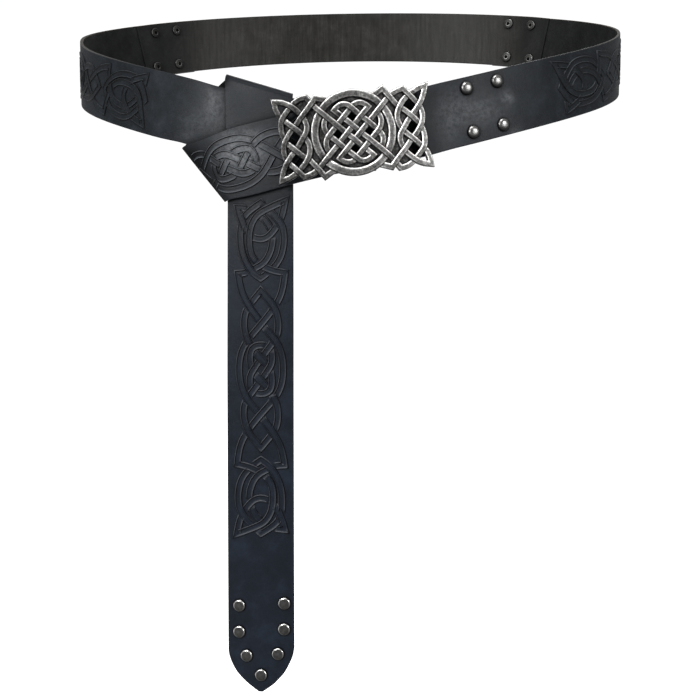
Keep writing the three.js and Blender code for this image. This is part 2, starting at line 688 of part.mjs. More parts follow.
const lapHalf = LAP_OFFSET + STRAP_THICK / 2;
addRivets("rivet_left", domeProfile(lapHalf), leftGroup);
addRivets("rivet_right", domeProfile(lapHalf), rightGroup);
addRivets("rivet_front", domeProfile(lapHalf), frontGroup);
addRivets("rivet_tail", capProfile(STRAP_THICK / 2), tailGroup);

export default part;
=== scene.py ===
"""Embossed leather long belt with a pierced interlace buckle, knotted at the front."""

from bisect import bisect
from itertools import groupby
from math import atan, atan2, cos, degrees, exp, hypot, pi, radians, sin

import bpy
from mathutils import Matrix, Vector


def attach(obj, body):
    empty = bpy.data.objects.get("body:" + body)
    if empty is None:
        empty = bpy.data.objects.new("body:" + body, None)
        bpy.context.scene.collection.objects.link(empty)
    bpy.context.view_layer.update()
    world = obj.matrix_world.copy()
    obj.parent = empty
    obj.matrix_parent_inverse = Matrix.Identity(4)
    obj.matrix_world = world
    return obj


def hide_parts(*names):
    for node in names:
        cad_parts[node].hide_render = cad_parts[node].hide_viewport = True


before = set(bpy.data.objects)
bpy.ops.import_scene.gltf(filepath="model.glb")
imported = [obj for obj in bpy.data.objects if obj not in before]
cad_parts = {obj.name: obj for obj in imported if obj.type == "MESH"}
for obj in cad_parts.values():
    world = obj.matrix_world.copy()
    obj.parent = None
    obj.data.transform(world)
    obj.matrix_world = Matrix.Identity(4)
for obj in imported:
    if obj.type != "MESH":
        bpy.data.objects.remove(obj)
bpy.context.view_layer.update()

# All sizes are in millimetres and become metres where a point is placed.
MM = 0.001

# Strap
STRAP_WIDTH = 40.6
TAIL_WIDTH = 40.8
STRAP_THICK = 2.2
EDGE_ROUND = 0.5

# Waist loop. A lap is a place round it in degrees, and its leather ends LAP_END beyond
# the rivets.
LOOP_HALF_WIDTH = 193.8
LOOP_HALF_DEPTH = 130.9
LOOP_RISE = 94.2
LOOP_SIDE_RISE = 3.06
FRONT_DIP = {"depth": 21.1, "at": -13.6, "reach": 114.2}
LAP_RIGHT = 43.2
LAP_LEFT = 141.4
LAP_OFFSET = 1.45
LAP_END = 12
LOOP_STEPS = 1440
RIGHT_SETTLE = {"start": 20, "length": 45, "drop": 2.2}

# Knot. Layers are outwards from the middle of the loop's wall. The hanging part leans
# forward below HANG_TOP, and the strap rises where it passes over the low fold.
LAYER_UNDER = -1.45
LAYER_STRAP = 1.35
LAYER_DOWN = 4.15
LAYER_OVER = 6.95
HANG_TOP = -112
HANG_LEAN = 0.035
EASE = {"s": -105, "reach": 14, "up": 1.2, "out": 0.8}
SINK_FROM = -30
TURN_LEAD = 6
RETURN_HASTE = 1.5
RIGHT_EASE = {"lead": 2.5, "outer": 40, "inner": 34}

# How many stations each part of a strap has
STRAP_STEPS = {"tail": 170, "join": 3, "back": 44, "under": 24, "down": 28, "right": 150,
               "flap": 40, "rear": 200}
TURN_STEPS = 24
HANG_STEP = 2.5

# Rivets. The columns of a group follow the strap's slope by a share only.
FRONT_RIVETS_AT = 84.6
RIVET_ALONG = 21
RIVET_ACROSS = 26.8
RIVET_GAP = 0.3
LAP_COLUMN_LEAN = 0.3
FRONT_COLUMN_LEAN = 0.7

# Buckle plate, and the two hidden rods that the straps' ends go round
PLATE_CENTRE = (2.15, -144, -70.7)
PLATE_ROLL = 6.8
PLATE_YAW = 4
PLATE_PITCH = 1.5
PLATE_BEND = 210
PLATE_SCALE = 0.97
ROD_RADIUS = 2
ROD_REACH = 22.3
ROD_GAP = 0.4
ROD_TURN = {"s": 12.1, "z": -69.5, "n": 6.5, "plate_u": 10.3, "plate_v": 23, "drift": 0.09}
ROD_FIXED = {"s": 22.5, "z": -68.3, "n": 5.7, "plate_u": 21.1, "plate_v": 23.2, "drift": 0.03}
ROD_BEND = ROD_RADIUS + ROD_GAP + STRAP_THICK / 2
ROD_FOOT = 1
LEG_RADIUS = 1.1
BAR = {"sides": 16, "rim": 0.3, "angle": 30}


def mix(a, b, t):
    return a + (b - a) * t


def mix_point(a, b, t):
    return [mix(v, w, t) for v, w in zip(a, b)]


def span(a, b):
    return hypot(b[0] - a[0], b[1] - a[1])


def clamp(t):
    return min(1, max(0, t))


def smooth(t):
    c = clamp(t)
    return c * c * (3 - 2 * c)


def eased(value, start, length):
    """0 before start, 1 from start + length on, and smooth in between."""
    return smooth((value - start) / length)


def bump_at(value, middle, reach):
    """1 at the middle, falling off smoothly on both sides."""
    return exp(-(((value - middle) / reach) ** 2))


# The wall of the waist loop: s along it from the middle of the front, z up, n outwards
def loop_plan(a):
    return LOOP_HALF_WIDTH * cos(a), LOOP_HALF_DEPTH * sin(a)


def loop_angle(share):
    return (share - 0.25) * 2 * pi


loop_table = [0.0]
for step in range(1, LOOP_STEPS + 1):
    ax, ay = loop_plan(loop_angle((step - 1) / LOOP_STEPS))
    bx, by = loop_plan(loop_angle(step / LOOP_STEPS))
    loop_table.append(loop_table[-1] + hypot(bx - ax, by - ay))
LOOP_LENGTH = loop_table[-1]


def angle_at(s):
    d = s % LOOP_LENGTH
    i = min(bisect(loop_table, d), LOOP_STEPS) - 1
    share = (d - loop_table[i]) / (loop_table[i + 1] - loop_table[i])
    return loop_angle((i + share) / LOOP_STEPS)


def length_at(turn):
    return loop_table[round((turn / 360 + 0.25) * LOOP_STEPS)]


def wall_normal(s):
    a = angle_at(s)
    nx, ny = cos(a) / LOOP_HALF_WIDTH, sin(a) / LOOP_HALF_DEPTH
    return nx / hypot(nx, ny), ny / hypot(nx, ny)


def wall_point(s, z, n):
    x, y = loop_plan(angle_at(s))
    nx, ny = wall_normal(s)
    return Vector((x + nx * n, y + ny * n, z)) * MM


def loop_height(s):
    x, y = loop_plan(angle_at(s))
    back = (y + LOOP_HALF_DEPTH) / (2 * LOOP_HALF_DEPTH)
    front = 1 - (1 + y / LOOP_HALF_DEPTH) ** 6 if y < 0 else 0
    bell = bump_at(x, FRONT_DIP["at"], FRONT_DIP["reach"])
    side = LOOP_SIDE_RISE * x / LOOP_HALF_WIDTH
    return LOOP_RISE * (back - 0.5) - FRONT_DIP["depth"] * front * bell + side


def line_through(rows, steps=120):
    """A smooth height line through (s, z) rows, given as a function of s."""
    knots = [Vector(r) for r in rows]
    knots = [knots[0] * 2 - knots[1], *knots, knots[-1] * 2 - knots[-2]]
    spans = len(rows) - 1
    found = []
    for i in range(steps + 1):
        at = min(spans - 1, i * spans // steps)
        t = i * spans / steps - at
        p = knots[at:at + 4]
        gaps = [(p[k + 1] - p[k]).length ** 0.5 for k in range(3)]
        m1 = ((p[1] - p[0]) / gaps[0] - (p[2] - p[0]) / (gaps[0] + gaps[1])
              + (p[2] - p[1]) / gaps[1]) * gaps[1]
        m2 = ((p[2] - p[1]) / gaps[1] - (p[3] - p[1]) / (gaps[1] + gaps[2])
              + (p[3] - p[2]) / gaps[2]) * gaps[1]
        found.append(p[1] * (2 * t**3 - 3 * t**2 + 1) + m1 * (t**3 - 2 * t**2 + t)
                     + p[2] * (3 * t**2 - 2 * t**3) + m2 * (t**3 - t**2))

    def height(s):
        i = 0
        while i < len(found) - 2 and found[i + 1].x < s:
            i += 1
        return mix(found[i].y, found[i + 1].y, (s - found[i].x) / (found[i + 1].x - found[i].x))

    return height


# The middle of the strap across the front, left of the plate
FRONT_FROM = -140
front_line = line_through([
    *((s, loop_height(s)) for s in (FRONT_FROM - 30, FRONT_FROM - 15, FRONT_FROM)),
    (-120, -49.0), (-103, -54.0), (-87, -59.1), (-60, -65.7), (-35, -68.6), (-10, -70.1),
    (14, -69.6),
])


def tail_height(s):
    return loop_height(s) if s < FRONT_FROM else front_line(s)


def right_height(s):
    settled = eased(s, RIGHT_SETTLE["start"], RIGHT_SETTLE["length"])
    return loop_height(s) - RIGHT_SETTLE["drop"] * (1 - settled)


def lean_at(height, s, reach=0.5):
    """How a height line leans at s, in radians."""
    return atan((height(s + reach) - height(s - reach)) / (2 * reach))


# Stations: a line across the strap, (top edge, low edge, the way one face looks)
def cross_station(height, s, width, n, side):
    lean = lean_at(height, s)
    ds, dz = sin(lean) * width / 2, cos(lean) * width / 2
    return [s - ds, height(s) + dz, n], [s + ds, height(s) - dz, n], [0, 0, side]


def cross_stations(height, start, stop, count, width, level, side):
    places = [mix(start, stop, i / count) for i in range(count + 1)]
    return [cross_station(height, s, width, level(s), side) for s in places]


def direction(top, low):
    return [(low[k] - top[k]) / span(top, low) for k in (0, 1)]


def turn_stations(top, low, out, n, radius, start, drift):
    """Half a turn about a line that bulges towards out, from the start side to the other."""
    along = direction(top, low)
    rows = []
    for i in range(TURN_STEPS + 1):
        turn = pi * i / TURN_STEPS
        slide = drift * radius * (turn - pi / 2)
        edges = [[e[k] + out[k] * radius * sin(turn) + along[k] * slide for k in (0, 1)]
                 + [n - start * radius * cos(turn)] for e in (top, low)]
        rows.append((*edges, [-out[0] * sin(turn), -out[1] * sin(turn), start * cos(turn)]))
    return rows


def between(a, b, count):
    """Count stations on straight lines between two."""
    shares = [i / (count + 1) for i in range(1, count + 1)]
    return [tuple(mix_point(a[k], b[k], t) for k in range(3)) for t in shares]


ROD_AXIS = (-sin(radians(PLATE_ROLL)), cos(radians(PLATE_ROLL)))


def rod_edge(rod, across):
    return rod["s"] + ROD_AXIS[0] * across, rod["z"] + ROD_AXIS[1] * across


def rod_turn(rod, width, start):
    out = (ROD_AXIS[1] * start, -ROD_AXIS[0] * start)
    top, low = rod_edge(rod, width / 2), rod_edge(rod, -width / 2)
    return turn_stations(top, low, out, rod["n"], ROD_BEND, start, rod["drift"])


# The folds, by the line along the wall where each is outermost
FOLD_LOW = {"top": (-107.3, -76.2), "low": (-78.2, -110.3),
            "radius": (LAYER_OVER - LAYER_UNDER) / 2, "drift": -0.42}
FOLD_TOP = {"top": (-76.6, -32.1), "low": (-34.6, -45.3),
            "radius": (LAYER_DOWN - LAYER_UNDER) / 2, "drift": 0.31}


def fold_out(fold, start):
    along = direction(fold["top"], fold["low"])
    return -along[1] * start, along[0] * start


def fold_turn(fold, start):
    radius, out = fold["radius"], fold_out(fold, start)
    back = radius + STRAP_THICK / 2
    edges = [[e[k] - out[k] * back for k in (0, 1)] for e in (fold["top"], fold["low"])]
    return turn_stations(*edges, out, LAYER_UNDER + radius, radius, start, fold["drift"])


# How far the edge of the leather behind the strap bows out to the left
UNDER_BOW = 3.4

# The two edges of the length that goes back over the front from the buckle
RETURN_TOP = [(-92.6, -72.8), (-71.5, -66.0), (-44, -60.3), (-20, -55.2)]
RETURN_LOW = [(-60, -106.9), (-38.8, -101.5), (-14, -95.8)]


def return_level(t, start):
    return mix(start, LAYER_OVER, smooth(t * RETURN_HASTE))


def return_stations(first, last, count):
    top_line = line_through([last[0][:2], *RETURN_TOP, first[0][:2]])
    low_line = line_through([last[1][:2], *RETURN_LOW, first[1][:2]])
    rows = []
    for i in range(1, count + 1):
        t = i / (count + 1)
        n = return_level(t, first[0][2])
        top, low = mix(first[0][0], last[0][0], t), mix(first[1][0], last[1][0], t)
        rows.append(([top, top_line(top), n], [low, low_line(low), n], [0, 0, -1]))
    return rows


# The hanging part: left and right along the wall, and the heights there
HANG_ROWS = [
    (-75.5, -34.5, -112, -112), (-75.4, -34.2, -220, -220), (-74.7, -33.8, -330, -330),
    (-74.4, -33.6, -372, -372), (-74.2, -33.5, -393.5, -389), (-73.6, -34.1, -397, -393.5),
    (-72.3, -35.4, -400.5, -397.5), (-70.6, -37.3, -403.9, -401.7),
    (-68.6, -39.4, -407, -405.5), (-65.8, -42.2, -410.1, -409), (-62.6, -45.1, -413, -412.4),
    (-59.8, -47.9, -415.1, -414.8), (-57.4, -50.2, -416.8, -416.6),
    (-54.9, -52.7, -418.5, -418.5),
]


def hang_level(z):
    return LAYER_DOWN + max(0, HANG_TOP - z) * HANG_LEAN


def hang_stations():
    rows = [([left, z_left, hang_level(z_left)], [right, z_right, hang_level(z_right)],
             [0, 0, -1]) for left, right, z_left, z_right in HANG_ROWS]
    made = [rows[0]]
    for a, b in zip(rows, rows[1:]):
        drop = a[0][1] - b[0][1]
        made += between(a, b, int(drop / HANG_STEP)) + [b]
    return made


def ease_at(s):
    return bump_at(s, EASE["s"], EASE["reach"])


def tail_stations():
    first = length_at(LAP_LEFT) - LOOP_LENGTH - RIVET_ALONG / 2 - LAP_END
    last = ROD_TURN["s"] - TURN_LEAD
    rod_level = ROD_TURN["n"] - ROD_BEND

    def level(s):
        sunk = eased(s, SINK_FROM, last - SINK_FROM)
        return mix(LAYER_STRAP, rod_level, sunk) + EASE["out"] * ease_at(s)

    strap = cross_stations(tail_height, first, last, STRAP_STEPS["tail"], TAIL_WIDTH, level, 1)
    for _, low, _ in strap:
        low[1] += EASE["up"] * ease_at(low[0])
    turn = rod_turn(ROD_TURN, TAIL_WIDTH, 1)
    low_fold = fold_turn(FOLD_LOW, -1)
    top_fold = fold_turn(FOLD_TOP, 1)
    hang = hang_stations()
    back = return_stations(turn[-1], low_fold[0], STRAP_STEPS["back"])
    under = between(low_fold[-1], top_fold[0], STRAP_STEPS["under"])
    for i, (top, _, _) in enumerate(under):
        top[0] -= UNDER_BOW * sin(pi * ((i + 1) / (len(under) + 1)) ** 2)
    down = between(top_fold[-1], hang[0], STRAP_STEPS["down"])
    join = between(strap[-1], turn[0], STRAP_STEPS["join"])
    return strap + join + turn + back + low_fold + under + top_fold + down + hang


RIGHT_STOP = ROD_FIXED["s"] + RIGHT_EASE["lead"]


def right_outer(s):
    near = ROD_FIXED["n"] + ROD_BEND
    return mix(LAP_OFFSET, near, max(0, 1 - (s - RIGHT_STOP) / RIGHT_EASE["outer"]) ** 2)


def right_inner(s):
    far = ROD_FIXED["n"] - ROD_BEND
    return mix(far, -LAP_OFFSET, eased(s, RIGHT_STOP, RIGHT_EASE["inner"]))


def right_stations():
    first = length_at(LAP_RIGHT) + RIVET_ALONG / 2 + LAP_END
    flap = FRONT_RIVETS_AT + RIVET_ALONG / 2 + LAP_END
    return [
        *cross_stations(right_height, first, RIGHT_STOP, STRAP_STEPS["right"], STRAP_WIDTH,
                        right_outer, -1),
        *rod_turn(ROD_FIXED, STRAP_WIDTH, -1),
        *cross_stations(right_height, RIGHT_STOP, flap, STRAP_STEPS["flap"], STRAP_WIDTH,
                        right_inner, 1),
    ]


# The rear length is inside the other two at the laps. Its ends are pared from inside to a
# share of their thickness, and press against the outer leather.
REAR_START = length_at(LAP_RIGHT) - RIVET_ALONG / 2 - LAP_END
REAR_STOP = length_at(LAP_LEFT) + RIVET_ALONG / 2 + LAP_END
SKIVE = {"length": 12, "share": 0.48, "press": 1.14}


def skived(s):
    from_end = min(s - REAR_START, REAR_STOP - s)
    return mix(SKIVE["share"], 1, smooth(from_end / SKIVE["length"]))


def rear_level(s):
    return -LAP_OFFSET + (1 - skived(s)) * (STRAP_THICK / 2 + SKIVE["press"])


def rear_stations():
    return cross_stations(loop_height, REAR_START, REAR_STOP, STRAP_STEPS["rear"], STRAP_WIDTH,
                          rear_level, 1)


# Edges that turn by more than these angles are shaded sharp
LEATHER_CREASE = 40
PLATE_CREASE = 50
RIVET_CREASE = 35


# Blender helpers
def clear_selection():
    if bpy.context.object and bpy.context.object.mode != "OBJECT":
        bpy.ops.object.mode_set(mode="OBJECT")
    bpy.ops.object.select_all(action="DESELECT")


def only(piece):
    clear_selection()
    piece.select_set(True)
    bpy.context.view_layer.objects.active = piece


def apply_modifiers(piece):
    only(piece)
    for modifier in list(piece.modifiers):
        bpy.ops.object.modifier_apply(modifier=modifier.name)


def edit(piece, *steps, select="SELECT"):
    """Runs edit-mode operators, each with everything selected or another selection."""
    only(piece)
    bpy.ops.object.mode_set(mode="EDIT")
    for operator, options in steps:
        if select:
            bpy.ops.mesh.select_all(action=select)
        operator(**options)
    bpy.ops.object.mode_set(mode="OBJECT")


def bent_grid(name, columns, rows, place):
    """A grid of columns by rows cells, its points moved by place(column, row)."""
    clear_selection()
    bpy.ops.mesh.primitive_grid_add(x_subdivisions=columns, y_subdivisions=rows, size=2,
                                    calc_uvs=True)
    piece = bpy.context.object
    piece.name = piece.data.name = name
    for v in piece.data.vertices:
        column = round((v.co.x + 1) / 2 * columns)
        row = round((v.co.y + 1) / 2 * rows)
        v.co = place(column, row)
    return piece


def joined(pieces, name):
    clear_selection()
    for piece in pieces:
        piece.select_set(True)
    bpy.context.view_layer.objects.active = pieces[0]
    bpy.ops.object.join()
    pieces[0].name = pieces[0].data.name = name
    return pieces[0]


def round_rims(piece, width, angle):
    """Rounds the edges that turn by more than an angle, once the modifiers are applied."""
    rim = piece.modifiers.new("rim", "BEVEL")
    rim.width = width * MM
    rim.segments = 2
    rim.limit_method = "ANGLE"
    rim.angle_limit = radians(angle)


def smooth_shaded(piece, angle):
    """Shades a piece smooth, but for the edges that turn by more than an angle."""
    only(piece)
    bpy.ops.object.shade_smooth_by_angle(angle=radians(angle))


def finish_piece(piece, material, slot, *nodes):
    piece.data.materials.clear()
    piece.data.materials.append(material)
    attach(piece, "root")
    if nodes:
        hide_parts(*nodes)


# Materials
def grey(value, tint=(1, 1, 1)):
    return tuple(value * t for t in tint) + (1,)


class Nodes:
    """A new material's node tree, with short calls to add and link nodes."""

    def __init__(self, name):
        self.material = bpy.data.materials.new(name)
        self.material.use_nodes = True
        self.tree = self.material.node_tree
        self.shader = self.tree.nodes["Principled BSDF"]

    def add(self, kind, settings=None, **inputs):
        node = self.tree.nodes.new(kind)
        for key, value in (settings or {}).items():
            setattr(node, key, value)
        for key, value in inputs.items():
            self.feed(node.inputs[key.replace("_", " ")], value)
        return node

    def feed(self, socket, value):
        if isinstance(value, bpy.types.NodeSocket):
            self.tree.links.new(value, socket)
        else:
            socket.default_value = value

    def set(self, **inputs):
        for key, value in inputs.items():
            self.feed(self.shader.inputs[key.replace("_", " ")], value)

    def ramp(self, factor, *stops):
        """A colour ramp. A stop is (place, grey value) or (place, grey value, tint)."""
        node = self.add("ShaderNodeValToRGB", None, Fac=factor)
        elements = node.color_ramp.elements
        while len(elements) < len(stops):
            elements.new(0.5)
        for element, (place, *tone) in zip(elements, stops):
            element.position = place
            element.color = grey(*tone)
        return node.outputs[0]

    def math(self, operation, a, b=0.0):
        node = self.add("ShaderNodeMath", {"operation": operation})
        for socket, value in zip(node.inputs, (a, b)):
            self.feed(socket, value)
        return node.outputs[0]

    def times(self, a, b):
        return self.math("MULTIPLY", a, b)

    def blend(self, factor, a, b, mode="MIX"):
        node = self.add("ShaderNodeMix", {"data_type": "RGBA", "blend_type": mode})
        for socket, value in ((0, factor), (6, a), (7, b)):
            self.feed(node.inputs[socket], value)
        return node.outputs[2]

    def darker(self, colour, by):
        return self.blend(1.0, colour, by, "MULTIPLY")

    def shelter(self, reach):
        """1 in the open, and less in creases and under an edge within reach."""
        return self.add("ShaderNodeAmbientOcclusion", {"samples": 8}, Distance=reach).outputs["AO"]

    def attribute(self, name):
        return self.add("ShaderNodeAttribute", {"attribute_name": name}).outputs["Fac"]

    def noise(self, vector, scale, detail, rough, distortion=0.0):
        return self.add("ShaderNodeTexNoise", None, Vector=vector, Scale=scale, Detail=detail,
                        Roughness=rough, Distortion=distortion).outputs[0]

    def bump(self, height, strength, distance, under):
        """A bump on top of the one under it, or the first if that is None."""
        under = {} if under is None else {"Normal": under}
        return self.add("ShaderNodeBump", None, Height=height, Strength=strength,
                        Distance=distance, **under).outputs[0]


# Noises: scale for each metre, detail, roughness and distortion
LEATHER_NOISE = {"broad": (22, 5, 0.62), "cloud": (95, 6, 0.72), "wrinkle": (300, 4, 0.7, 0.6),
                 "crease": (420, 4, 0.65, 0.4), "grain": (1900, 3, 0.65),
                 "flecks": (380, 5, 0.75)}
SILVER_NOISE = {"speck": (1700, 4, 0.7), "mottle": (640, 5, 0.72, 0.3)}
PORE_SCALE = 1150
# Creases are drawn out upright, and wrinkles along the strap
UPRIGHT = (1, 1, 0.08)
LEVEL = (0.4, 0.4, 1)
# The leather's dyes and bare side: stops of (noise, grey, tint), then tones of (grey, tint).
# The hanging part is bluer below the first height, in metres, and fully so at the second.
BLACK_DYE = [(0.3, 0.0046, (0.84, 1, 1.22)), (0.75, 0.0078, (0.84, 1, 1.22))]
BLUE_DYE = [(0.3, 0.0027, (0.64, 1, 1.7)), (0.75, 0.0053, (0.66, 1, 1.65))]
FLESH_SIDE = [(0.3, 0.005, (1.06, 1.03, 0.94)), (0.7, 0.0112, (1.05, 1.02, 0.94))]
BLUE_FROM = -0.10
BLUE_TO = -0.15
# Pale scuffs, and the painted highlight on the knot's medallion
SCUFF_AND_HIGHLIGHT = (0.075, (0.96, 1, 1.06))
# The painted highlight on the embossing's rims, partly wear
WORN_AND_LIT_RIM = (0.055, (0.93, 1, 1.12))
CUT_EDGE = (0.03, (1.02, 1, 0.96))
# A tint laid over the painted shade at the laps of the inside
LAP_FADE = (1.15, 1, 0.83)
# The painted shade on the embossing's rims
RIM_SHADE_TONE = 0.0005
# How much of the dye each of these covers at most, and how rough each kind of face is
COVER = {"scuff": 0.7, "rim_shade": 0.95, "rim": 0.75, "lap": 0.7}
ROUGH = {"low": 0.32, "high": 0.5, "rim": 0.28, "cut": 0.8, "painted_shade": 0.95, "under_shade": 0.8}
LEATHER_SHINE = 0.045
# Bumps: strength, and height in metres
LEATHER_BUMP = {"grain": (0.25, 0.0002), "pore": (0.3, 0.0003), "fold": (0.18, 0.0006),
                "cloud": (0.25, 0.0006)}
SILVER_BUMP = {"pit": (0.45, 0.0003), "mottle": (0.4, 0.0007)}
# How far away, in metres, an edge casts painted shade on the leather under it, a crease gets
# painted shade, and the silver gets painted shade, partly patina
UNDER_REACH = 0.007
CREASE_REACH = 0.0018
SILVER_REACH = 0.002


def leather_material():
    n = Nodes("black_leather")
    at = n.add("ShaderNodeTexCoord").outputs["Object"]
    relief, cut, inner = (n.attribute(name) for name in ("relief", "cut_edge", "inner_side"))
    scuffs_and_light, lap = n.attribute("scuff_and_painted_light"), n.attribute("lapped")
    upright = n.add("ShaderNodeMapping", None, Vector=at, Scale=UPRIGHT).outputs[0]
    level = n.add("ShaderNodeMapping", None, Vector=at, Scale=LEVEL).outputs[0]
    ways = {"wrinkle": level, "crease": upright}
    broad, cloud, wrinkle, crease, grain, flecks = (
        n.noise(ways.get(name, at), *noise) for name, noise in LEATHER_NOISE.items())
    pores = n.add("ShaderNodeTexVoronoi", {"feature": "DISTANCE_TO_EDGE"}, Vector=at,
                  Scale=PORE_SCALE)
    black, blue = n.ramp(broad, *BLACK_DYE), n.ramp(broad, *BLUE_DYE)
    height = n.add("ShaderNodeSeparateXYZ", None, Vector=at).outputs["Z"]
    hanging = n.add("ShaderNodeMapRange", None, Value=height, From_Min=BLUE_FROM,
                    From_Max=BLUE_TO).outputs[0]
    colour = n.blend(inner, n.blend(hanging, black, blue), n.ramp(crease, *FLESH_SIDE))
    colour = n.darker(colour, n.ramp(cloud, (0.3, 0.72), (0.5, 0.95), (0.72, 1.5)))
    # Scuffs and a painted highlight where the spots are above 0
    scuff_and_highlight = n.times(n.ramp(flecks, (0.4, 0.25), (0.62, 1)), scuffs_and_light)
    scuff_and_highlight = n.math("MINIMUM", n.math("MAXIMUM", scuff_and_highlight, 0.0), COVER["scuff"])
    colour = n.blend(scuff_and_highlight, colour, grey(*SCUFF_AND_HIGHLIGHT))
    # Painted shade where the spots are below 0, made rougher as well
    lit_share = n.ramp(n.times(scuffs_and_light, -1.0), (0.0, 1), (1.0, 0.2))
    colour = n.darker(colour, lit_share)
    # Painted shade on the rims' lower right sides, and a painted highlight, partly wear, on their
    # upper left sides
    rim_shade = n.ramp(relief, (0.15, 1), (0.46, 0))
    colour = n.blend(n.times(rim_shade, COVER["rim_shade"]), colour, grey(RIM_SHADE_TONE))
    rim_highlight = n.ramp(relief, (0.56, 0), (0.9, 1))
    colour = n.blend(n.times(rim_highlight, COVER["rim"]), colour, grey(*WORN_AND_LIT_RIM))
    colour = n.blend(cut, colour, grey(*CUT_EDGE))
    # Painted shade under the edges of the layers and in creases, lifted at the laps, where a tint
    # goes over the painted shade of the inside
    under_shade = n.ramp(n.shelter(UNDER_REACH), (0.35, 0.1), (0.9, 1))
    under_shade = n.blend(n.times(lap, COVER["lap"]), under_shade, grey(1))
    crease_shade = n.ramp(n.shelter(CREASE_REACH), (0.55, 0.03), (0.92, 1))
    crease_shade = n.blend(lap, crease_shade, grey(1))
    for shade in (n.blend(lap, grey(1), grey(1, LAP_FADE)), crease_shade, under_shade):
        colour = n.darker(colour, shade)
    rough = n.ramp(cloud, (0.3, ROUGH["low"]), (0.75, ROUGH["high"]))
    rough = n.blend(cut, n.blend(rim_highlight, rough, grey(ROUGH["rim"])), grey(ROUGH["cut"]))
    rough = n.blend(lit_share, grey(ROUGH["painted_shade"]), rough)
    rough = n.blend(under_shade, grey(ROUGH["under_shade"]), rough)
    n.set(Base_Color=colour, Roughness=rough, Specular_IOR_Level=LEATHER_SHINE)
    normal = None
    for name, height in (("grain", grain), ("pore", pores.outputs["Distance"]),
                         ("fold", n.blend(inner, wrinkle, crease)), ("cloud", cloud)):
        normal = n.bump(height, *LEATHER_BUMP[name], normal)
    n.set(Normal=normal)
    return n.material


SILVER_TINT = (1, 0.99, 0.97)


def silver_material(name, tones, polish, rough_cast):
    """Antique silver: tones is its ramp of greys from the black hollows to the worn edges, with
    painted light and painted shade laid into the same ramp.
    """
    n = Nodes(name)
    at = n.add("ShaderNodeTexCoord").outputs["Object"]
    relief = n.attribute("relief")
    speck, mottle = (n.noise(at, *noise) for noise in SILVER_NOISE.values())
    uneven = n.math("ADD", n.math("SUBTRACT", mottle, 0.5),
                    n.times(n.math("SUBTRACT", speck, 0.5), 0.5))
    # Painted shade, partly patina, in the recesses
    lit_share = n.times(relief, n.ramp(n.shelter(SILVER_REACH), (0.3, 0.3), (0.8, 1)))
    wear_and_light = n.math("ADD", lit_share, n.times(uneven, rough_cast))
    n.set(Base_Color=n.ramp(wear_and_light, *[(*tone, SILVER_TINT) for tone in tones]), Metallic=1.0)
    n.set(Roughness=n.ramp(wear_and_light, (0.1, 0.6), (0.85, polish)))
    normal = None
    for name, height in (("pit", speck), ("mottle", mottle)):
        strength, distance = SILVER_BUMP[name]
        normal = n.bump(height, strength * rough_cast, distance, normal)
    n.set(Normal=normal)
    return n.material


# The silvers' stops of (wear with painted light and shade, grey)
PLATE_TONES = [(0.05, 0.002), (0.27, 0.02), (0.5, 0.068), (0.72, 0.18), (1.0, 0.75)]
RIVET_TONES = [(0.05, 0.003), (0.4, 0.015), (0.75, 0.08), (1.0, 0.32)]
leather = leather_material()
plate_silver = silver_material("antique_silver_casting", PLATE_TONES, polish=0.33, rough_cast=1)
rivet_silver = silver_material("dark_nickel_rivet", RIVET_TONES, polish=0.26, rough_cast=0.25)


def write_attribute(piece, name, value):
    """Stores value(vertex) as a number on each vertex."""
    layers = piece.data.attributes
    layer = layers.get(name) or layers.new(name, "FLOAT", "POINT")
    for i, v in enumerate(piece.data.vertices):
        layer.data[i].value = value(v)


# Straps
EDGE_ROW = 0.65
STRAP_ROWS = 18
# How bare the cut edges are: the low one, and the upper one at the front, which is barer
# from this far along the loop
BARE_EDGE = {"low": 0.05, "front": 0.06, "start": 110, "length": 90}
# The relief value of a plain face: painted shade on the embossing's rims is below it, and their
# painted highlight, partly wear, above
FLAT_RELIEF = 0.5


def strap_row(row):
    """The share of the width at a grid row, with a narrow row along each cut edge."""
    if row in (0, STRAP_ROWS):
        return row / STRAP_ROWS
    edge = EDGE_ROW / STRAP_WIDTH
    return mix(edge, 1 - edge, (row - 1) / (STRAP_ROWS - 2))


def wall_out(point):
    """The way out of the waist loop at a point."""
    return Vector((point.x / LOOP_HALF_WIDTH**2, point.y / LOOP_HALF_DEPTH**2, 0)).normalized()


# Places where the face is scuffed pale, with a painted highlight on the knot's medallion, and
# painted shade where the last value is below 0: along the strap, height, reach along and up, how
# much
SCUFFS_AND_PAINTED_LIGHT = [(-84, -48, 7, 12, 0.34), (-103, -70, 9, 4, 0.3), (-92, -62, 14, 9, 0.18),
          (80, -54, 15, 9, 0.3), (61, -59, 9, 15, 0.24), (99, -45, 4, 4, 0.45),
          (106, -68, 4, 4, 0.4), (-64, -82, 15, 10, 0.95), (-60, -71, 16, 5, 0.3),
          (-99, -88, 16, 14, -1.4), (-86, -108, 10, 12, -0.9), (-79, -36, 5, 3.5, -2)]
# How bare the flesh side is
DYED_INSIDE = 0.3
BARE_INSIDE = 1
# Where each of these sets in, and over how much more it grows to full. All but the first place
# painted shade: on faces that look along the belt, and on the inside near the laps.
FACING = {"start": 0.3, "length": 0.3}
EDGE_SHADE = {"start": 0.35, "length": 0.4, "flesh": 0.3}
LAP_SHADE = 0.45
LAP_RIGHT_DARK = {"start": 122, "length": 34}
LAP_LEFT_DARK = {"start": 113, "length": 45}


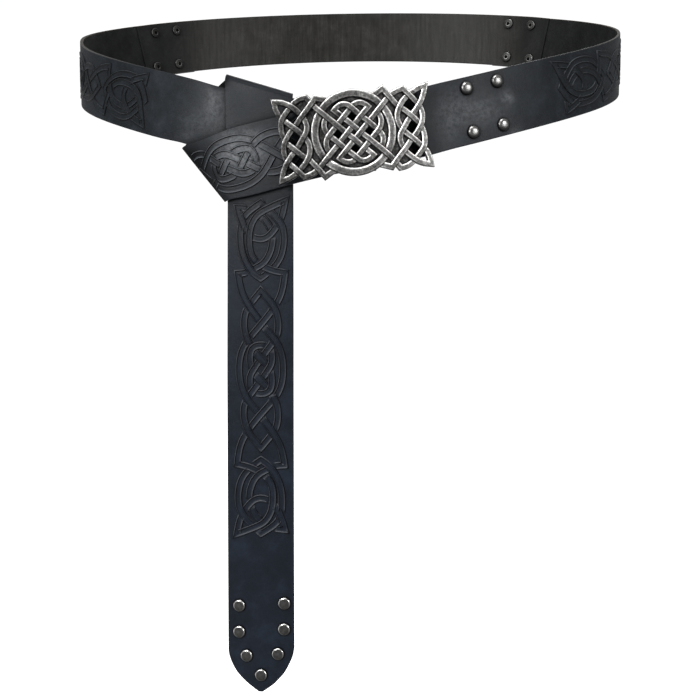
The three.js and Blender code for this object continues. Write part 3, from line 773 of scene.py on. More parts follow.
def scuff_and_painted_light_at(point):
    """The scuffs, painted highlight and painted shade at a point of the belt, from its place on
    the wall of the loop.
    """
    turn = degrees(atan2(point.y / LOOP_HALF_DEPTH, point.x / LOOP_HALF_WIDTH))
    s, z = length_at((turn + 90) % 360 - 90), point.z / MM
    s = s if s < LOOP_LENGTH / 2 else s - LOOP_LENGTH
    return sum(much * bump_at(s, at, along) * bump_at(z, height, up)
               for at, height, along, up, much in SCUFFS_AND_PAINTED_LIGHT)


def facing(v, way):
    """1 where a vertex looks out of the loop, or into it if way is -1."""
    return eased(way * v.normal.dot(wall_out(v.co)), **FACING)


def near_laps(v):
    """1 at the laps of the inside, where shade is painted dark over the bare flesh side."""
    x = v.co.x / MM
    return eased(x, **LAP_RIGHT_DARK) if x > 0 else eased(-x, **LAP_LEFT_DARK)


def lapped(v, flesh):
    """1 at the laps of the inside, where the rear length's pared ends lie close and the painted
    shade of edges and creases is lifted.
    """
    return near_laps(v) * (facing(v, -1) if flesh < 1 else 1 - facing(v, 1))


def edge_and_lap_shade(v, flesh):
    """Painted shade on what looks along the belt, and on the flesh side at the laps."""
    along = wall_out(v.co).cross(Vector((0, 0, 1)))
    sideways = eased(abs(v.normal.dot(along)), EDGE_SHADE["start"], EDGE_SHADE["length"])
    return (sideways * mix(1, EDGE_SHADE["flesh"], flesh)
            + LAP_SHADE * flesh * facing(v, -1) * near_laps(v))


def strap_piece(name, stations, flesh, thickness):
    columns = len(stations) - 1

    def place(column, row):
        top, low, _ = stations[column]
        return wall_point(*mix_point(low, top, strap_row(row)))

    piece = bent_grid(name, columns, STRAP_ROWS, place)
    full = piece.vertex_groups.new(name="thickness")
    for column, (top, _, _) in enumerate(stations):
        points = [column + row * (columns + 1) for row in range(STRAP_ROWS + 1)]
        full.add(points, thickness(top[0]), "REPLACE")

    def bareness(v):
        row, column = divmod(v.index, columns + 1)
        barer = eased(abs(stations[column][0][0]), BARE_EDGE["start"], BARE_EDGE["length"])
        return {0: BARE_EDGE["low"], STRAP_ROWS: mix(BARE_EDGE["front"], 1, barer)}.get(row, 0)

    write_attribute(piece, "cut_edge", bareness)
    wall = piece.modifiers.new("wall", "SOLIDIFY")
    wall.vertex_group = full.name
    wall.thickness = STRAP_THICK * MM
    wall.offset = 0
    wall.use_even_offset = True
    round_rims(piece, EDGE_ROUND, 60)
    apply_modifiers(piece)
    # Near the laps the bare flesh colour gives way to painted shade
    write_attribute(piece, "inner_side", lambda v: flesh * facing(v, -1) * (1 - near_laps(v)))
    write_attribute(piece, "relief", lambda v: FLAT_RELIEF)
    smooth_shaded(piece, LEATHER_CREASE)
    return piece


# Swept bands: strands of the plate and bands of the leather
MITRE_LIMIT = 0.35
WELD = 1e-7
ROUND_PASSES = 2
SHARP_STRAND = 55
SHARP_BAND = 50


def cut_corner(a, b, c, sharp):
    """The corner b with its point cut off, or kept if it turns by more than sharp."""
    before, after = atan2(b[1] - a[1], b[0] - a[0]), atan2(c[1] - b[1], c[0] - b[0])
    turn = abs((after - before + pi) % (2 * pi) - pi)
    return [b] if turn > radians(sharp) else [mix_point(b, a, 0.25), mix_point(b, c, 0.25)]


def rounded(rows):
    """An open run of (u, v, up), with its soft corners rounded."""
    for _ in range(ROUND_PASSES):
        made = [rows[0]]
        for a, b, c in zip(rows, rows[1:], rows[2:]):
            made += cut_corner(a, b, c, SHARP_STRAND)
        rows = made + [rows[-1]]
    return [tuple(r) for r in rows]


def half_turn(rows):
    return [(-r[0], -r[1], *r[2:]) for r in rows]


def mitres(rows, closed):
    """For each row, the way to the left of the run that keeps its width round a corner."""
    spans = len(rows) if closed else len(rows) - 1
    left = []
    for i in range(spans):
        along = direction(rows[i], rows[(i + 1) % len(rows)])
        left.append((-along[1], along[0]))
    made = []
    for i in range(len(rows)):
        a = left[(i - 1) % spans if closed else max(0, i - 1)]
        b = left[min(spans - 1, i)]
        k = max(MITRE_LIMIT, 1 + a[0] * b[0] + a[1] * b[1])
        made.append(((a[0] + b[0]) / k, (a[1] + b[1]) / k))
    return made


def swept_band(name, rows, section, place, closed=False):
    """A closed band along rows of (u, v, level); section is a ring of (across, up, relief).

    place(u, v, w) puts a point on the surface, w above it.
    """
    sides = mitres(rows, closed)
    columns = len(rows) if closed else len(rows) - 1

    def corner(column, row):
        u, v, level = rows[column % len(rows)]
        across, up, _ = section[row % len(section)]
        side = sides[column % len(rows)]
        return place(u + side[0] * across, v + side[1] * across, up(level))

    piece = bent_grid(name, columns, len(section), corner)
    write_attribute(piece, "relief", lambda v: section[v.index // (columns + 1) % len(section)][2])
    edit(piece, (bpy.ops.mesh.remove_doubles, {"threshold": WELD}),
         (bpy.ops.mesh.fill_holes, {"sides": 0}),
         (bpy.ops.mesh.normals_make_consistent, {"inside": False}))
    return piece


# Wear of the silver with painted light: everywhere, a painted highlight on what looks up, painted
# shade on what looks right, and painted light growing towards the plate's right end, for each
# metre
SILVER_WEAR_AND_LIGHT = {"all": 0.78, "up": 0.8, "right": -0.2}
RIGHT_END_LIGHT = 4.5


def wear_and_light_by_facing(piece, right_end_light=0):
    """Paints light on the sides that look up and left, and shade on the others, over the silver's
    wear.
    """
    relief = piece.data.attributes["relief"].data

    def worn_and_lit(v):
        wear_and_light = SILVER_WEAR_AND_LIGHT["all"] + SILVER_WEAR_AND_LIGHT["up"] * v.normal.z + SILVER_WEAR_AND_LIGHT["right"] * v.normal.x
        return relief[v.index].value * max(0, wear_and_light + right_end_light * v.co.x)

    write_attribute(piece, "relief", worn_and_lit)


# Buckle plate
def turned(p, q, turn):
    c, s = cos(radians(turn)), sin(radians(turn))
    return p * c - q * s, p * s + q * c


def plate_point(u, v, w):
    """A place on the plate: across and up along its bent sheet, and out from its back."""
    a = u * PLATE_SCALE / PLATE_BEND
    x = (PLATE_BEND + w) * sin(a)
    y = PLATE_BEND - (PLATE_BEND + w) * cos(a)
    z = v * PLATE_SCALE
    x, z = turned(x, z, PLATE_ROLL)
    y, z = turned(y, z, PLATE_PITCH)
    x, y = turned(x, y, PLATE_YAW)
    return (Vector(PLATE_CENTRE) + Vector((x, y, z))) * MM


# Each row of a run is a bend or a crossing, (across, up, level): level 1 passes over and
# 0 under. The plate's other half is the same runs after half a turn.
PLATE_RUNS = [
    [(-13, -20.4, 0), (-20.3, -24.6, 0.5), (-23.8, -19.6, 1), (-27.4, -14.8, 0.6),
     (-29.6, -12.8, 0), (-33, -10.2, 0.6), (-36.5, -6.6, 1), (-40.2, -3, 0.5),
     (-42.4, -0.6, 0), (-43.9, 4.5, 0.5), (-43.9, 9, 0.6), (-42.7, 13.2, 1),
     (-38.7, 17.7, 0.5), (-36.3, 20.2, 0), (-33.5, 22.4, 0.5), (-30.2, 23.9, 0.6),
     (-26.6, 24.3, 0.5), (-23.6, 20, 0), (-20.6, 16.4, 0.7), (-18.8, 14.6, 1),
     (-15, 10.8, 1), (-9.7, 5.5, 1), (-4.2, 0, 0), (0, -4.2, 1), (6.3, -10.5, 0)],
    [(5, -9.2, 0), (10.4, -14.6, 0.6), (8.9, -16.1, 0.6), (6.6, -17.4, 0.6),
     (4.1, -17.6, 0.6), (1.6, -16.8, 0.8), (0, -15.2, 1), (-5.5, -9.7, 0),
     (-9.7, -5.5, 1), (-15.2, 0, 0), (-17, 2.5, 0.5), (-17.7, 5.5, 0.6),
     (-17.1, 8.6, 0.5), (-15.2, 11, 0)],
    [(-12.6, 20.3, 0), (-21.2, 23.3, 0.6), (-23.6, 20, 1), (-30, 13.6, 1),
     (-36, 7, 0), (-38.6, 4.6, 0.5), (-42.4, -0.6, 1), (-44, -5, 0.6),
     (-43.9, -9, 0.5), (-42.5, -13.2, 0), (-39.5, -16, 0.6), (-36.3, -19.5, 1),
     (-33, -23.5, 0.6), (-27, -21.6, 0.5), (-23.8, -19.6, 0), (-21, -16.8, 0.6),
     (-18.8, -14.6, 1), (-15.4, -11.2, 1), (-9.7, -5.5, 0), (-4.2, 0, 1), (0.7, 4.9, 0)],
    [(-0.6, 3.6, 0), (5.5, 9.7, 1), (10.4, 14.6, 0.6), (8.9, 16.1, 0.6),
     (6.6, 17.4, 0.6), (4.1, 17.6, 0.5), (1.6, 16.8, 0.2), (0, 15.2, 0),
     (-5.5, 9.7, 1), (-9.7, 5.5, 0), (-15.2, 0, 1), (-17, -2.5, 0.6),
     (-17.7, -5.5, 0.6), (-17.1, -8.6, 0.4), (-15.2, -11, 0)],
    [(-29.6, 13.1, 0), (-33, 17.2, 0.6), (-36.3, 20.2, 1), (-38.8, 21.6, 0.7),
     (-42.2, 23.1, 0.6), (-46.3, 23.8, 0.6), (-46, 20.3, 0.6), (-44.9, 16.4, 0.5),
     (-42.7, 13.2, 0), (-39.8, 10.6, 0.6), (-36, 7, 1), (-33, 4.2, 0.6),
     (-30.4, 1.2, 0), (-28.6, -1.6, 0.5), (-27.5, -5.5, 0.6), (-28, -9.3, 0.7),
     (-29.6, -12.8, 1), (-32.3, -16.2, 0.6), (-36.3, -19.5, 0), (-39.2, -21.3, 0.5),
     (-43, -23, 0.6), (-47.3, -24, 0.6), (-46.4, -20.6, 0.6), (-44.9, -17, 0.7),
     (-42.5, -13.2, 1), (-39, -9, 0.5), (-36, -6, 0)],
    [(-30.6, 14.2, 0), (-28.6, 10.4, 0.5), (-27.9, 6.6, 0.6), (-28.6, 3.6, 0.8),
     (-30.4, 1.2, 1), (-33.2, -2.7, 0.5), (-37, -7.1, 0)],
]
# The ring's level by the turn from its sides
RING_ROWS = [(0, 0.5), (24, 0.5), (37.8, 0), (57.7, 1), (76, 0.5), (90, 0.5)]
RING = {"radius": 23.8, "width": 5.2, "base": 0.25, "steps": 160}
STRAND = {"width": 3.75, "base": 0.35, "low": 2.3, "high": 3.9, "drop": 1.5}
# The web between the strands: half of its openings, and of its outline
WEB = {"thick": 1.5, "relief": 0.3, "half_width": 50, "half_height": 26, "cell": 0.4}
WEB_GAPS = [
    [(-46.4, 23.6), (-40.6, 22.5), (-36.3, 20.2), (-42.7, 13.2), (-45.6, 17.4)],
    [(-36.3, 20.2), (-30, 13.6), (-36, 7), (-42.7, 13.2)],
    [(-36, 7), (-30.4, 1.2), (-36.5, -6.6), (-42.4, -0.6)],
    [(-36.5, -6.6), (-29.6, -12.8), (-36.3, -19.5), (-42.5, -13.2)],
    [(-42.5, -13.2), (-36.3, -19.5), (-41, -22.3), (-47.3, -24), (-45.4, -18.2)],
    [(0, 15.2), (5.5, 9.7), (0, 4.2), (-5.5, 9.7)],
    [(-15.2, 0), (-9.7, 5.5), (-4.2, 0), (-9.7, -5.5)],
]
WEB_OUTLINE = [
    (-13, -20), (-20.3, -24.6), (-23.8, -19.6), (-27, -21.6), (-33, -23.5), (-36.3, -19.5),
    (-41, -22.3), (-47.3, -24), (-45.4, -18.2), (-42.5, -13.2), (-44.1, -6.8), (-42.4, -0.6),
    (-44.1, 7), (-42.7, 13.2), (-45.6, 17.4), (-46.4, 23.6), (-40.6, 22.5), (-36.3, 20.2),
    (-33.5, 22.4), (-26.6, 24.3), (-23.6, 20), (-21.2, 23.3), (-13, 20), (-6.7, 22.8),
    (0, 23.8), (6.7, 22.8),
]
# Across a strand as a share of half its width, height as a share of its drop, and wear
STRAND_PROFILE = [(1, 0, 0), (0.98, 0.3, 0), (0.93, 0.62, 0.3), (0.82, 0.84, 0.85),
                  (0.66, 0.95, 0.9), (0.4, 1, 0.55), (0, 1.02, 0.5)]


def strand_section(width, base):
    """A rounded strand, as (across, height above the plate's back, relief)."""
    half = width / 2
    low, high, drop = (STRAND[name] for name in ("low", "high", "drop"))
    rows = [(-x, h, r) for x, h, r in STRAND_PROFILE] + STRAND_PROFILE[-2::-1]

    def lifted(share):
        return lambda level: mix(low, high, level) - drop * (1 - share)

    ring = [(half * x, lifted(h), r) for x, h, r in rows]
    return ring + [(half, lambda level: base, 0), (-half, lambda level: base, 0)]


def inside(u, v, loop):
    """Whether a place is inside a closed loop, by the edges to its right."""
    crossings = 0
    for (u0, v0), (u1, v1) in zip(loop, loop[1:] + loop[:1]):
        if (v0 > v) != (v1 > v) and u < mix(u0, u1, (v - v0) / (v1 - v0)):
            crossings += 1
    return crossings % 2 == 1


def web_piece():
    """The thin sheet between the strands, with its ragged edges hidden under them."""
    across, up = WEB["half_width"], WEB["half_height"]
    columns, rows = (round(2 * half / WEB["cell"]) for half in (across, up))

    def flat(column, row):
        return Vector((mix(-across, across, column / columns), mix(-up, up, row / rows), 0))

    piece = bent_grid("plate_web", columns, rows, flat)
    outline = WEB_OUTLINE + half_turn(WEB_OUTLINE)
    gaps = WEB_GAPS + [half_turn(g) for g in WEB_GAPS]
    edit(piece, (bpy.ops.mesh.select_mode, {"type": "FACE"}), select="DESELECT")
    for face in piece.data.polygons:
        u, v = face.center.x, face.center.y
        face.select = not inside(u, v, outline) or any(inside(u, v, g) for g in gaps)
    edit(piece, (bpy.ops.mesh.delete, {"type": "FACE"}), select=None)
    for v in piece.data.vertices:
        v.co = plate_point(v.co.x, v.co.y, WEB["thick"])
    wall = piece.modifiers.new("wall", "SOLIDIFY")
    wall.thickness = WEB["thick"] * MM
    wall.offset = -1
    apply_modifiers(piece)
    write_attribute(piece, "relief", lambda v: WEB["relief"])
    return piece


def ring_level(turn):
    """The ring's level, which is the same in each half and mirrored in each quarter."""
    half = turn % 180
    at = 180 - half if half > 90 else half
    i = 0
    while i < len(RING_ROWS) - 2 and RING_ROWS[i + 1][0] < at:
        i += 1
    (a, up_a), (b, up_b) = RING_ROWS[i:i + 2]
    return mix(up_a, up_b, eased(at, a, b - a))


def round_bar(name, start, stop, radius):
    """A round bar between two points in metres."""
    way = stop - start
    clear_selection()
    bpy.ops.mesh.primitive_cylinder_add(vertices=BAR["sides"], radius=radius * MM,
                                        depth=way.length)
    piece = bpy.context.object
    piece.name = name
    turn = way.to_track_quat("Z", "Y").to_matrix().to_4x4()
    piece.data.transform(Matrix.Translation((start + stop) / 2) @ turn)
    round_rims(piece, BAR["rim"], BAR["angle"])
    apply_modifiers(piece)
    write_attribute(piece, "relief", lambda v: 0)
    return piece


def buckle_piece():
    """The plate's web, strands and ring, and the hidden rods with their legs, as one piece."""
    pieces = [web_piece()]
    section = strand_section(STRAND["width"], STRAND["base"])
    for number, run in enumerate(PLATE_RUNS):
        for side, rows in enumerate((run, half_turn(run))):
            pieces.append(swept_band(f"strand_{number}_{side}", rounded(rows), section,
                                     plate_point))
    ring = []
    for i in range(RING["steps"]):
        a = 2 * pi * i / RING["steps"]
        ring.append((RING["radius"] * cos(a), RING["radius"] * sin(a),
                     ring_level(360 * i / RING["steps"])))
    section = strand_section(RING["width"], RING["base"])
    pieces.append(swept_band("plate_ring", ring, section, plate_point, closed=True))
    for rod in (ROD_TURN, ROD_FIXED):
        ends = [wall_point(*rod_edge(rod, k * ROD_REACH), rod["n"]) for k in (1, -1)]
        feet = [plate_point(rod["plate_u"], k * rod["plate_v"], ROD_FOOT) for k in (1, -1)]
        pieces.append(round_bar("rod", *ends, ROD_RADIUS))
        for end, foot in zip(ends, feet):
            pieces.append(round_bar("leg", end, foot, LEG_RADIUS))
    piece = joined(pieces, "buckle_casting")
    wear_and_light_by_facing(piece, RIGHT_END_LIGHT)
    smooth_shaded(piece, PLATE_CREASE)
    return piece


# Embossing
# One knotwork panel, in millimetres across and up from its middle. A row is a bend, and a
# third value of 0 marks where the band passes under another. The rows of the long band
# lead from the right of the round knot to its left, and half a turn brings the other half.
LONG_BAND = [
    (13.7, 0), (13.5, 5), (12.6, 10), (10.8, 15), (8.7, 18.6), (5.7, 22.3), (2.6, 25.8),
    (0.3, 28.4, 0), (-3, 33), (-6, 36.8), (-8, 40), (-10.5, 44.2), (-12.6, 49), (-13.8, 54),
    (-14.6, 59.4), (-10, 59.8), (-6.5, 61.3, 0), (-2.5, 63.4), (1, 65.4), (4, 68.9),
    (6, 73.5), (7, 78), (7.1, 81.5), (6.5, 84.2, 0), (5.5, 88), (3.1, 91.6), (0, 94.5),
    (-2.3, 96.3), (-5, 98), (-6.8, 98.8, 0), (-10, 99.6), (-14.8, 99.9), (-13.6, 95.5),
    (-12.3, 92), (-10.8, 88), (-8.6, 84.4), (-7.2, 82.8, 0), (-4, 81.2), (0, 80.4),
    (3.8, 81.7), (6.5, 84.2), (8.6, 86.9), (11.3, 91.1, 0), (13.2, 96), (14.8, 104),
    (10, 102.1), (5.7, 100.1), (3.6, 99.2), (0.5, 97.6), (-2.2, 95.8, 0), (-4.6, 92.9),
    (-6.5, 89), (-7.4, 84.6), (-7.6, 81), (-7.6, 77.5), (-7.1, 73.5), (-5.5, 69.5),
    (-3, 66.6), (-0.8, 64.9, 0), (2, 63.4), (6.2, 61.7), (10, 60.7), (14.7, 59.9),
    (14.1, 54.5), (13.2, 49.5), (11.7, 45), (9.6, 41), (8.2, 38.7, 0), (6, 35.6),
    (3.3, 32.1), (0.3, 28.4), (-3.5, 23.9), (-6.3, 20.6), (-8.3, 18.1, 0), (-10.6, 14.5),
    (-12.5, 10), (-13.5, 5),
]
PEAK_BAND = [
    (-0.3, 103), (-6.7, 98.7), (-10, 95.6), (-12.2, 92, 0), (-13.1, 88), (-13.3, 82),
    (-13, 77), (-12, 72), (-10, 67), (-6.6, 61.5), (-3.6, 58.8), (-0.2, 56.6), (3, 58.9),
    (6, 61.6, 0), (9.2, 64.8), (11.8, 68.8), (13.4, 73.8), (14.1, 79), (13.9, 84),
    (13.1, 88), (11.4, 91.2), (8, 95.3), (3.7, 99.2, 0),
]
KNOT_BAND = [
    (-0.2, 48.8), (-3, 45.4), (-6, 41.6), (-7.8, 39.3, 0), (-9.7, 35.5), (-10.6, 31),
    (-10.6, 26), (-9.8, 21.5), (-8.3, 18), (-6.9, 15.4), (-5.5, 13.2, 0), (-3, 10),
    (0, 6.8), (3, 3.7), (5.2, 1, 0), (6.6, -3), (6.9, -7.5), (6.4, -11), (5.3, -13.2),
    (2.5, -15), (-2, -15.2), (-5.2, -13.7, 0), (-6.8, -10.5), (-7, -6), (-6.3, -3),
    (-5.2, -1), (-2.6, 3.1), (0, 6.8, 0), (2.4, 10), (5.2, 13.8), (7, 16.3),
    (8.7, 18.6, 0), (10.2, 22), (10.9, 27), (10.4, 32), (8.3, 38.6), (5, 43.1),
]
BAND_STEP = 1.15
SHORT_SPAN = 0.3
BAND_RISE = 0.6
FOOT_SHARE = 0.05
# Where a band passes under another it is sunk below the face, by a share of its rise, and
# comes up again from the start on
BAND_DIP = {"start": 2.1, "length": 1.3, "reach": 4, "depth": 0.25}
# Across the band, and height as a share of its rise: a raised rim along each side
BAND_SECTION = [
    (-2.35, 0.02), (-2.15, 0.6), (-1.95, 1.0), (-1.7, 1.0), (-1.45, 0.5), (-1.2, 0.3),
    (0, 0.38), (1.2, 0.3), (1.45, 0.5), (1.7, 1.0), (1.95, 1.0), (2.15, 0.6), (2.35, 0.02),
    (2.35, -0.4), (-2.35, -0.4),
]


def band_path(rows):
    """A closed run of a band, rounded between its sharp corners and evenly stepped."""
    points = [r[:2] for r in rows]
    for _ in range(ROUND_PASSES):
        around = zip(points[-1:] + points[:-1], points, points[1:] + points[:1])
        points = [p for a, b, c in around for p in cut_corner(a, b, c, SHARP_BAND)]
    made = []
    for a, b in zip(points, points[1:] + points[:1]):
        steps = max(1, round(span(a, b) / BAND_STEP))
        if span(a, b) > SHORT_SPAN:
            made += [mix_point(a, b, k / steps) for k in range(steps)]
    return made


def band_heights(path, dips):
    """Height along a path: full, and sunk near the spots where it passes under."""
    heights = [1.0] * len(path)
    for dip in dips:
        near = min(range(len(path)), key=lambda i: span(dip, path[i]))
        for step in (-1, 1):
            i, gone = near, 0.0
            while gone < BAND_DIP["reach"]:
                share = eased(gone, BAND_DIP["start"], BAND_DIP["length"])
                heights[i] = min(heights[i], share)
                after = (i + step) % len(path)
                gone += span(path[i], path[after])
                i = after
    return heights


# Painted highlight and shade on the embossing: by how far a side looks left and up, on what faces
# outwards
RIM_LIGHT = {"left": 0.55, "up": 0.83, "facing": 0.2, "much": 0.8}


def panel_runs():
    """Each closed band of the panel as rows of (across, up, height)."""
    closed = [LONG_BAND + half_turn(LONG_BAND), PEAK_BAND, half_turn(PEAK_BAND), KNOT_BAND,
              half_turn(KNOT_BAND)]
    runs = []
    for rows in closed:
        path = band_path(rows)
        heights = band_heights(path, [r[:2] for r in rows if len(r) > 2])
        runs.append([(p[0], p[1], h) for p, h in zip(path, heights)])
    return runs


def band_section():
    """The raised rows follow the band's height, and the feet stay in the leather."""
    def lift(share):
        if share <= FOOT_SHARE:
            return lambda height: BAND_RISE * share
        return lambda height: BAND_RISE * (share * mix(-BAND_DIP["depth"], 1, height))

    return [(across, lift(share), FLAT_RELIEF) for across, share in BAND_SECTION]


def paint_rim_light(piece, wear_and_light):
    """Paints a highlight on the rims' upper left sides and shade on their lower right."""
    def relief(v):
        out = wall_out(v.co)
        if v.normal.dot(out) <= RIM_LIGHT["facing"]:
            return FLAT_RELIEF
        left = out.cross(Vector((0, 0, 1)))
        lean = v.normal.dot(left * RIM_LIGHT["left"] + Vector((0, 0, RIM_LIGHT["up"])))
        return clamp(FLAT_RELIEF + RIM_LIGHT["much"] * lean * (wear_and_light if lean > 0 else 1))

    write_attribute(piece, "relief", relief)


def visible_parts(run, keep):
    """The parts of a closed run that keep(across, up) lets stay, and whether each is closed."""
    if all(keep(p, q) for p, q, _ in run):
        return [(run, True)]
    first = next(i for i, (p, q, _) in enumerate(run) if not keep(p, q))
    parts = groupby(run[first:] + run[:first], lambda row: keep(row[0], row[1]))
    parts = [list(part) for seen, part in parts if seen]
    return [(part, False) for part in parts if len(part) > 2]


def embossed_panel(name, wear_and_light, place, keep=lambda across, up: True):
    """The panel's bands as raised strips laid on a leather face by place(across, up, out)."""
    pieces = []
    for number, run in enumerate(panel_runs()):
        for part, closed in visible_parts(run, keep):
            band = swept_band(f"{name}_{number}_{len(pieces)}", part, band_section(), place,
                              closed)
            paint_rim_light(band, wear_and_light)
            pieces.append(band)
    return pieces


# Where the panels are. The knot's is drawn shorter beyond the bend, near the low fold, and
# sinks into the leather round the fold. At the sides a panel's peak is given, and how long it
# is drawn.
PANEL_HALF = 105
PANEL_TAIL = {"s": -54, "z": -214.3}
PANEL_KNOT = {"s": -70.2, "z": -87.7, "turn": 15, "wide": 1.1, "across": -0.2, "long": 0.93,
              "bend": -10, "long_beyond": 0.68, "flat": 6, "sunk": -0.3}
PANEL_LEFT = {"peak": -134.5, "long": 0.88}
PANEL_RIGHT = {"peak": 139, "long": 1}
PANEL_REAR = {"middle": 503}
RETURN_STOP = -92
KNOT_EDGE = {"s": -80, "z": -90, "up": 50}


def on_tail(p, q, w):
    s, z = PANEL_TAIL["s"] + p, PANEL_TAIL["z"] + q
    return wall_point(s, z, hang_level(z) + STRAP_THICK / 2 + w)


def on_knot(p, q, w):
    """On the returning length, and round the low fold where it passes behind."""
    turn = radians(PANEL_KNOT["turn"])
    p = p * PANEL_KNOT["wide"] + PANEL_KNOT["across"]
    bend = PANEL_KNOT["bend"]
    q = max(q, bend) * PANEL_KNOT["long"] + min(0, q - bend) * PANEL_KNOT["long_beyond"]
    s = PANEL_KNOT["s"] + q * cos(turn) + p * sin(turn)
    z = PANEL_KNOT["z"] + q * sin(turn) - p * cos(turn)
    top, radius, out = FOLD_LOW["top"], FOLD_LOW["radius"], fold_out(FOLD_LOW, -1)
    face = radius + STRAP_THICK / 2
    beyond = (s - top[0]) * out[0] + (z - top[1]) * out[1] + face
    if beyond <= 0:
        return wall_point(s, z, knot_level(s) + STRAP_THICK / 2 + w)
    angle = beyond / face
    w = min(w, mix(w, PANEL_KNOT["sunk"], beyond / PANEL_KNOT["flat"]))
    shift = beyond - (face + w) * sin(angle)
    return wall_point(s - out[0] * shift, z - out[1] * shift,
                      LAYER_UNDER + radius + (face + w) * cos(angle))


def knot_level(s):
    """The level of the returning length, which ends at the low fold."""
    share = (ROD_TURN["s"] - s) / (ROD_TURN["s"] - RETURN_STOP)
    return return_level(clamp(share), ROD_TURN["n"] + ROD_BEND)


def knot_seen(p, q):
    """The knot's medallion, from the plate's edge round to the back of the low fold."""
    edge = wall_point(KNOT_EDGE["s"], KNOT_EDGE["z"], LAYER_STRAP)
    return on_knot(p, q, 0).y < edge.y and q < KNOT_EDGE["up"]


def along_strap(height, level, start, step, side):
    """On a strap's outer face: up in the panel is along the strap, from start by step."""
    def place(p, q, w):
        s, across = start + q * step, side * p
        lean = lean_at(height, s)
        return wall_point(s - sin(lean) * across, height(s) + cos(lean) * across,
                          level(s) + STRAP_THICK / 2 + w)
    return place


def panel_left():
    step = PANEL_LEFT["long"]
    start = PANEL_LEFT["peak"] - PANEL_HALF * step
    return along_strap(tail_height, lambda s: LAYER_STRAP, start, step, -1)


def panel_right():
    step = -PANEL_RIGHT["long"]
    start = PANEL_RIGHT["peak"] - PANEL_HALF * step
    return along_strap(right_height, right_outer, start, step, 1)


def panel_rear():
    return along_strap(loop_height, lambda s: -LAP_OFFSET, PANEL_REAR["middle"], 1, -1)


# Rivets
def rivet_spots(middle, height, column_share):
    """Two by two rivets: places are (along, height, outwards, lean out of upright)."""
    lean = lean_at(height, middle, 1)
    column_lean = lean * column_share
    spots = []
    for along in (-RIVET_ALONG / 2, RIVET_ALONG / 2):
        for across in (RIVET_ACROSS / 2, -RIVET_ACROSS / 2):
            spots.append((middle + along * cos(lean) - across * sin(column_lean),
                          height(middle) + along * sin(lean) + across * cos(column_lean),
                          0, 0))
    return spots


def turned_piece(name, profile, spot):
    """A turned shape: profile rows are (radius, out, relief), from the back to the head."""
    s, z, n, lean = spot
    axis = Vector((*wall_normal(s), lean)).normalized()
    turn = axis.to_track_quat("Z", "Y").to_matrix()
    centre = wall_point(s, z, n)

    def place(column, row):
        radius, out, _ = profile[row]
        a = 2 * pi * column / RIVET_SIDES
        return centre + turn @ (Vector((radius * cos(a), radius * sin(a), out)) * MM)

    piece = bent_grid(name, RIVET_SIDES, len(profile) - 1, place)
    write_attribute(piece, "relief", lambda v: profile[v.index // (RIVET_SIDES + 1)][2])
    edit(piece, (bpy.ops.mesh.remove_doubles, {"threshold": WELD}),
         (bpy.ops.mesh.normals_make_consistent, {"inside": False}))
    # A painted highlight on the upper sides and painted shade on the lower
    wear_and_light_by_facing(piece)
    smooth_shaded(piece, RIVET_CREASE)
    return piece


# The rivets' backs and heads as (radius, away from the leather, relief)
RING_BACK = [(0, 0.3, 0), (1.15, 0.3, 0), (1.3, 0.45, 0.1), (1.3, 1.08, 0.3), (1.45, 1.2, 0.85),
             (1.9, 1.2, 0.5), (3.1, 1.2, 0.45), (3.65, 1.0, 0.75), (3.85, 0.5, 0.4), (3.8, 0, 0)]
FLAT_BACK = [(0, 0.9, 0.6), (2.9, 0.9, 0.6), (3.4, 0.7, 0.7), (3.5, 0.2, 0.3), (3.3, 0, 0)]
# The cap's rounded rim carries a painted highlight
CAP = [(3.75, 0, 0), (3.9, 0.15, 0.15), (3.88, 0.5, 0.5), (3.7, 0.9, 1), (3.35, 1.18, 1),
       (3.0, 1.26, 0.55), (2.6, 1.28, 0.5), (1.3, 1.3, 0.52), (0, 1.3, 0.55)]
DOME_EDGE = [(3.75, 0, 0), (3.95, 0.12, 0.15)]
DOME = {"radius": 4.15, "low": 0.12, "high": 2.3, "fullness": 0.8, "rows": 12}
# The dome's tone at its rim; a painted highlight grows from it towards the top
DOME_RELIEF = 0.35
STEM_RADIUS = 1.25
RIVET_SIDES = 48


def dome():
    """A domed head, with a painted highlight growing towards its top."""
    rows = list(DOME_EDGE)
    for i in range(1, DOME["rows"]):
        a = pi / 2 * i / DOME["rows"]
        rows.append((DOME["radius"] * cos(a) ** DOME["fullness"],
                     mix(DOME["low"], DOME["high"], sin(a)), mix(DOME_RELIEF, 1, sin(a))))
    return rows + [(0, DOME["high"], 1)]


def rivet_profile(half, back, head):
    """A rivet through leather that reaches half of its thickness to either side."""
    face = half + RIVET_GAP
    return [*((radius, -face - away, relief) for radius, away, relief in back),
            (STEM_RADIUS, -face, 0), (STEM_RADIUS, face, 0),
            *((radius, face + away, relief) for radius, away, relief in head)]


TAIL_RIVETS = [(-67.1, -364.1), (-39.3, -360.9), (-67.1, -380.9), (-39.4, -377.3),
               (-62.4, -395.8), (-43.1, -393.2), (-53.4, -407.5)]


def add_rivets(name, profile, spots):
    for i, spot in enumerate(spots, 1):
        piece = turned_piece(f"{name}_{i}_head", profile, spot)
        finish_piece(piece, rivet_silver, "rivet", f"{name}_{i}")


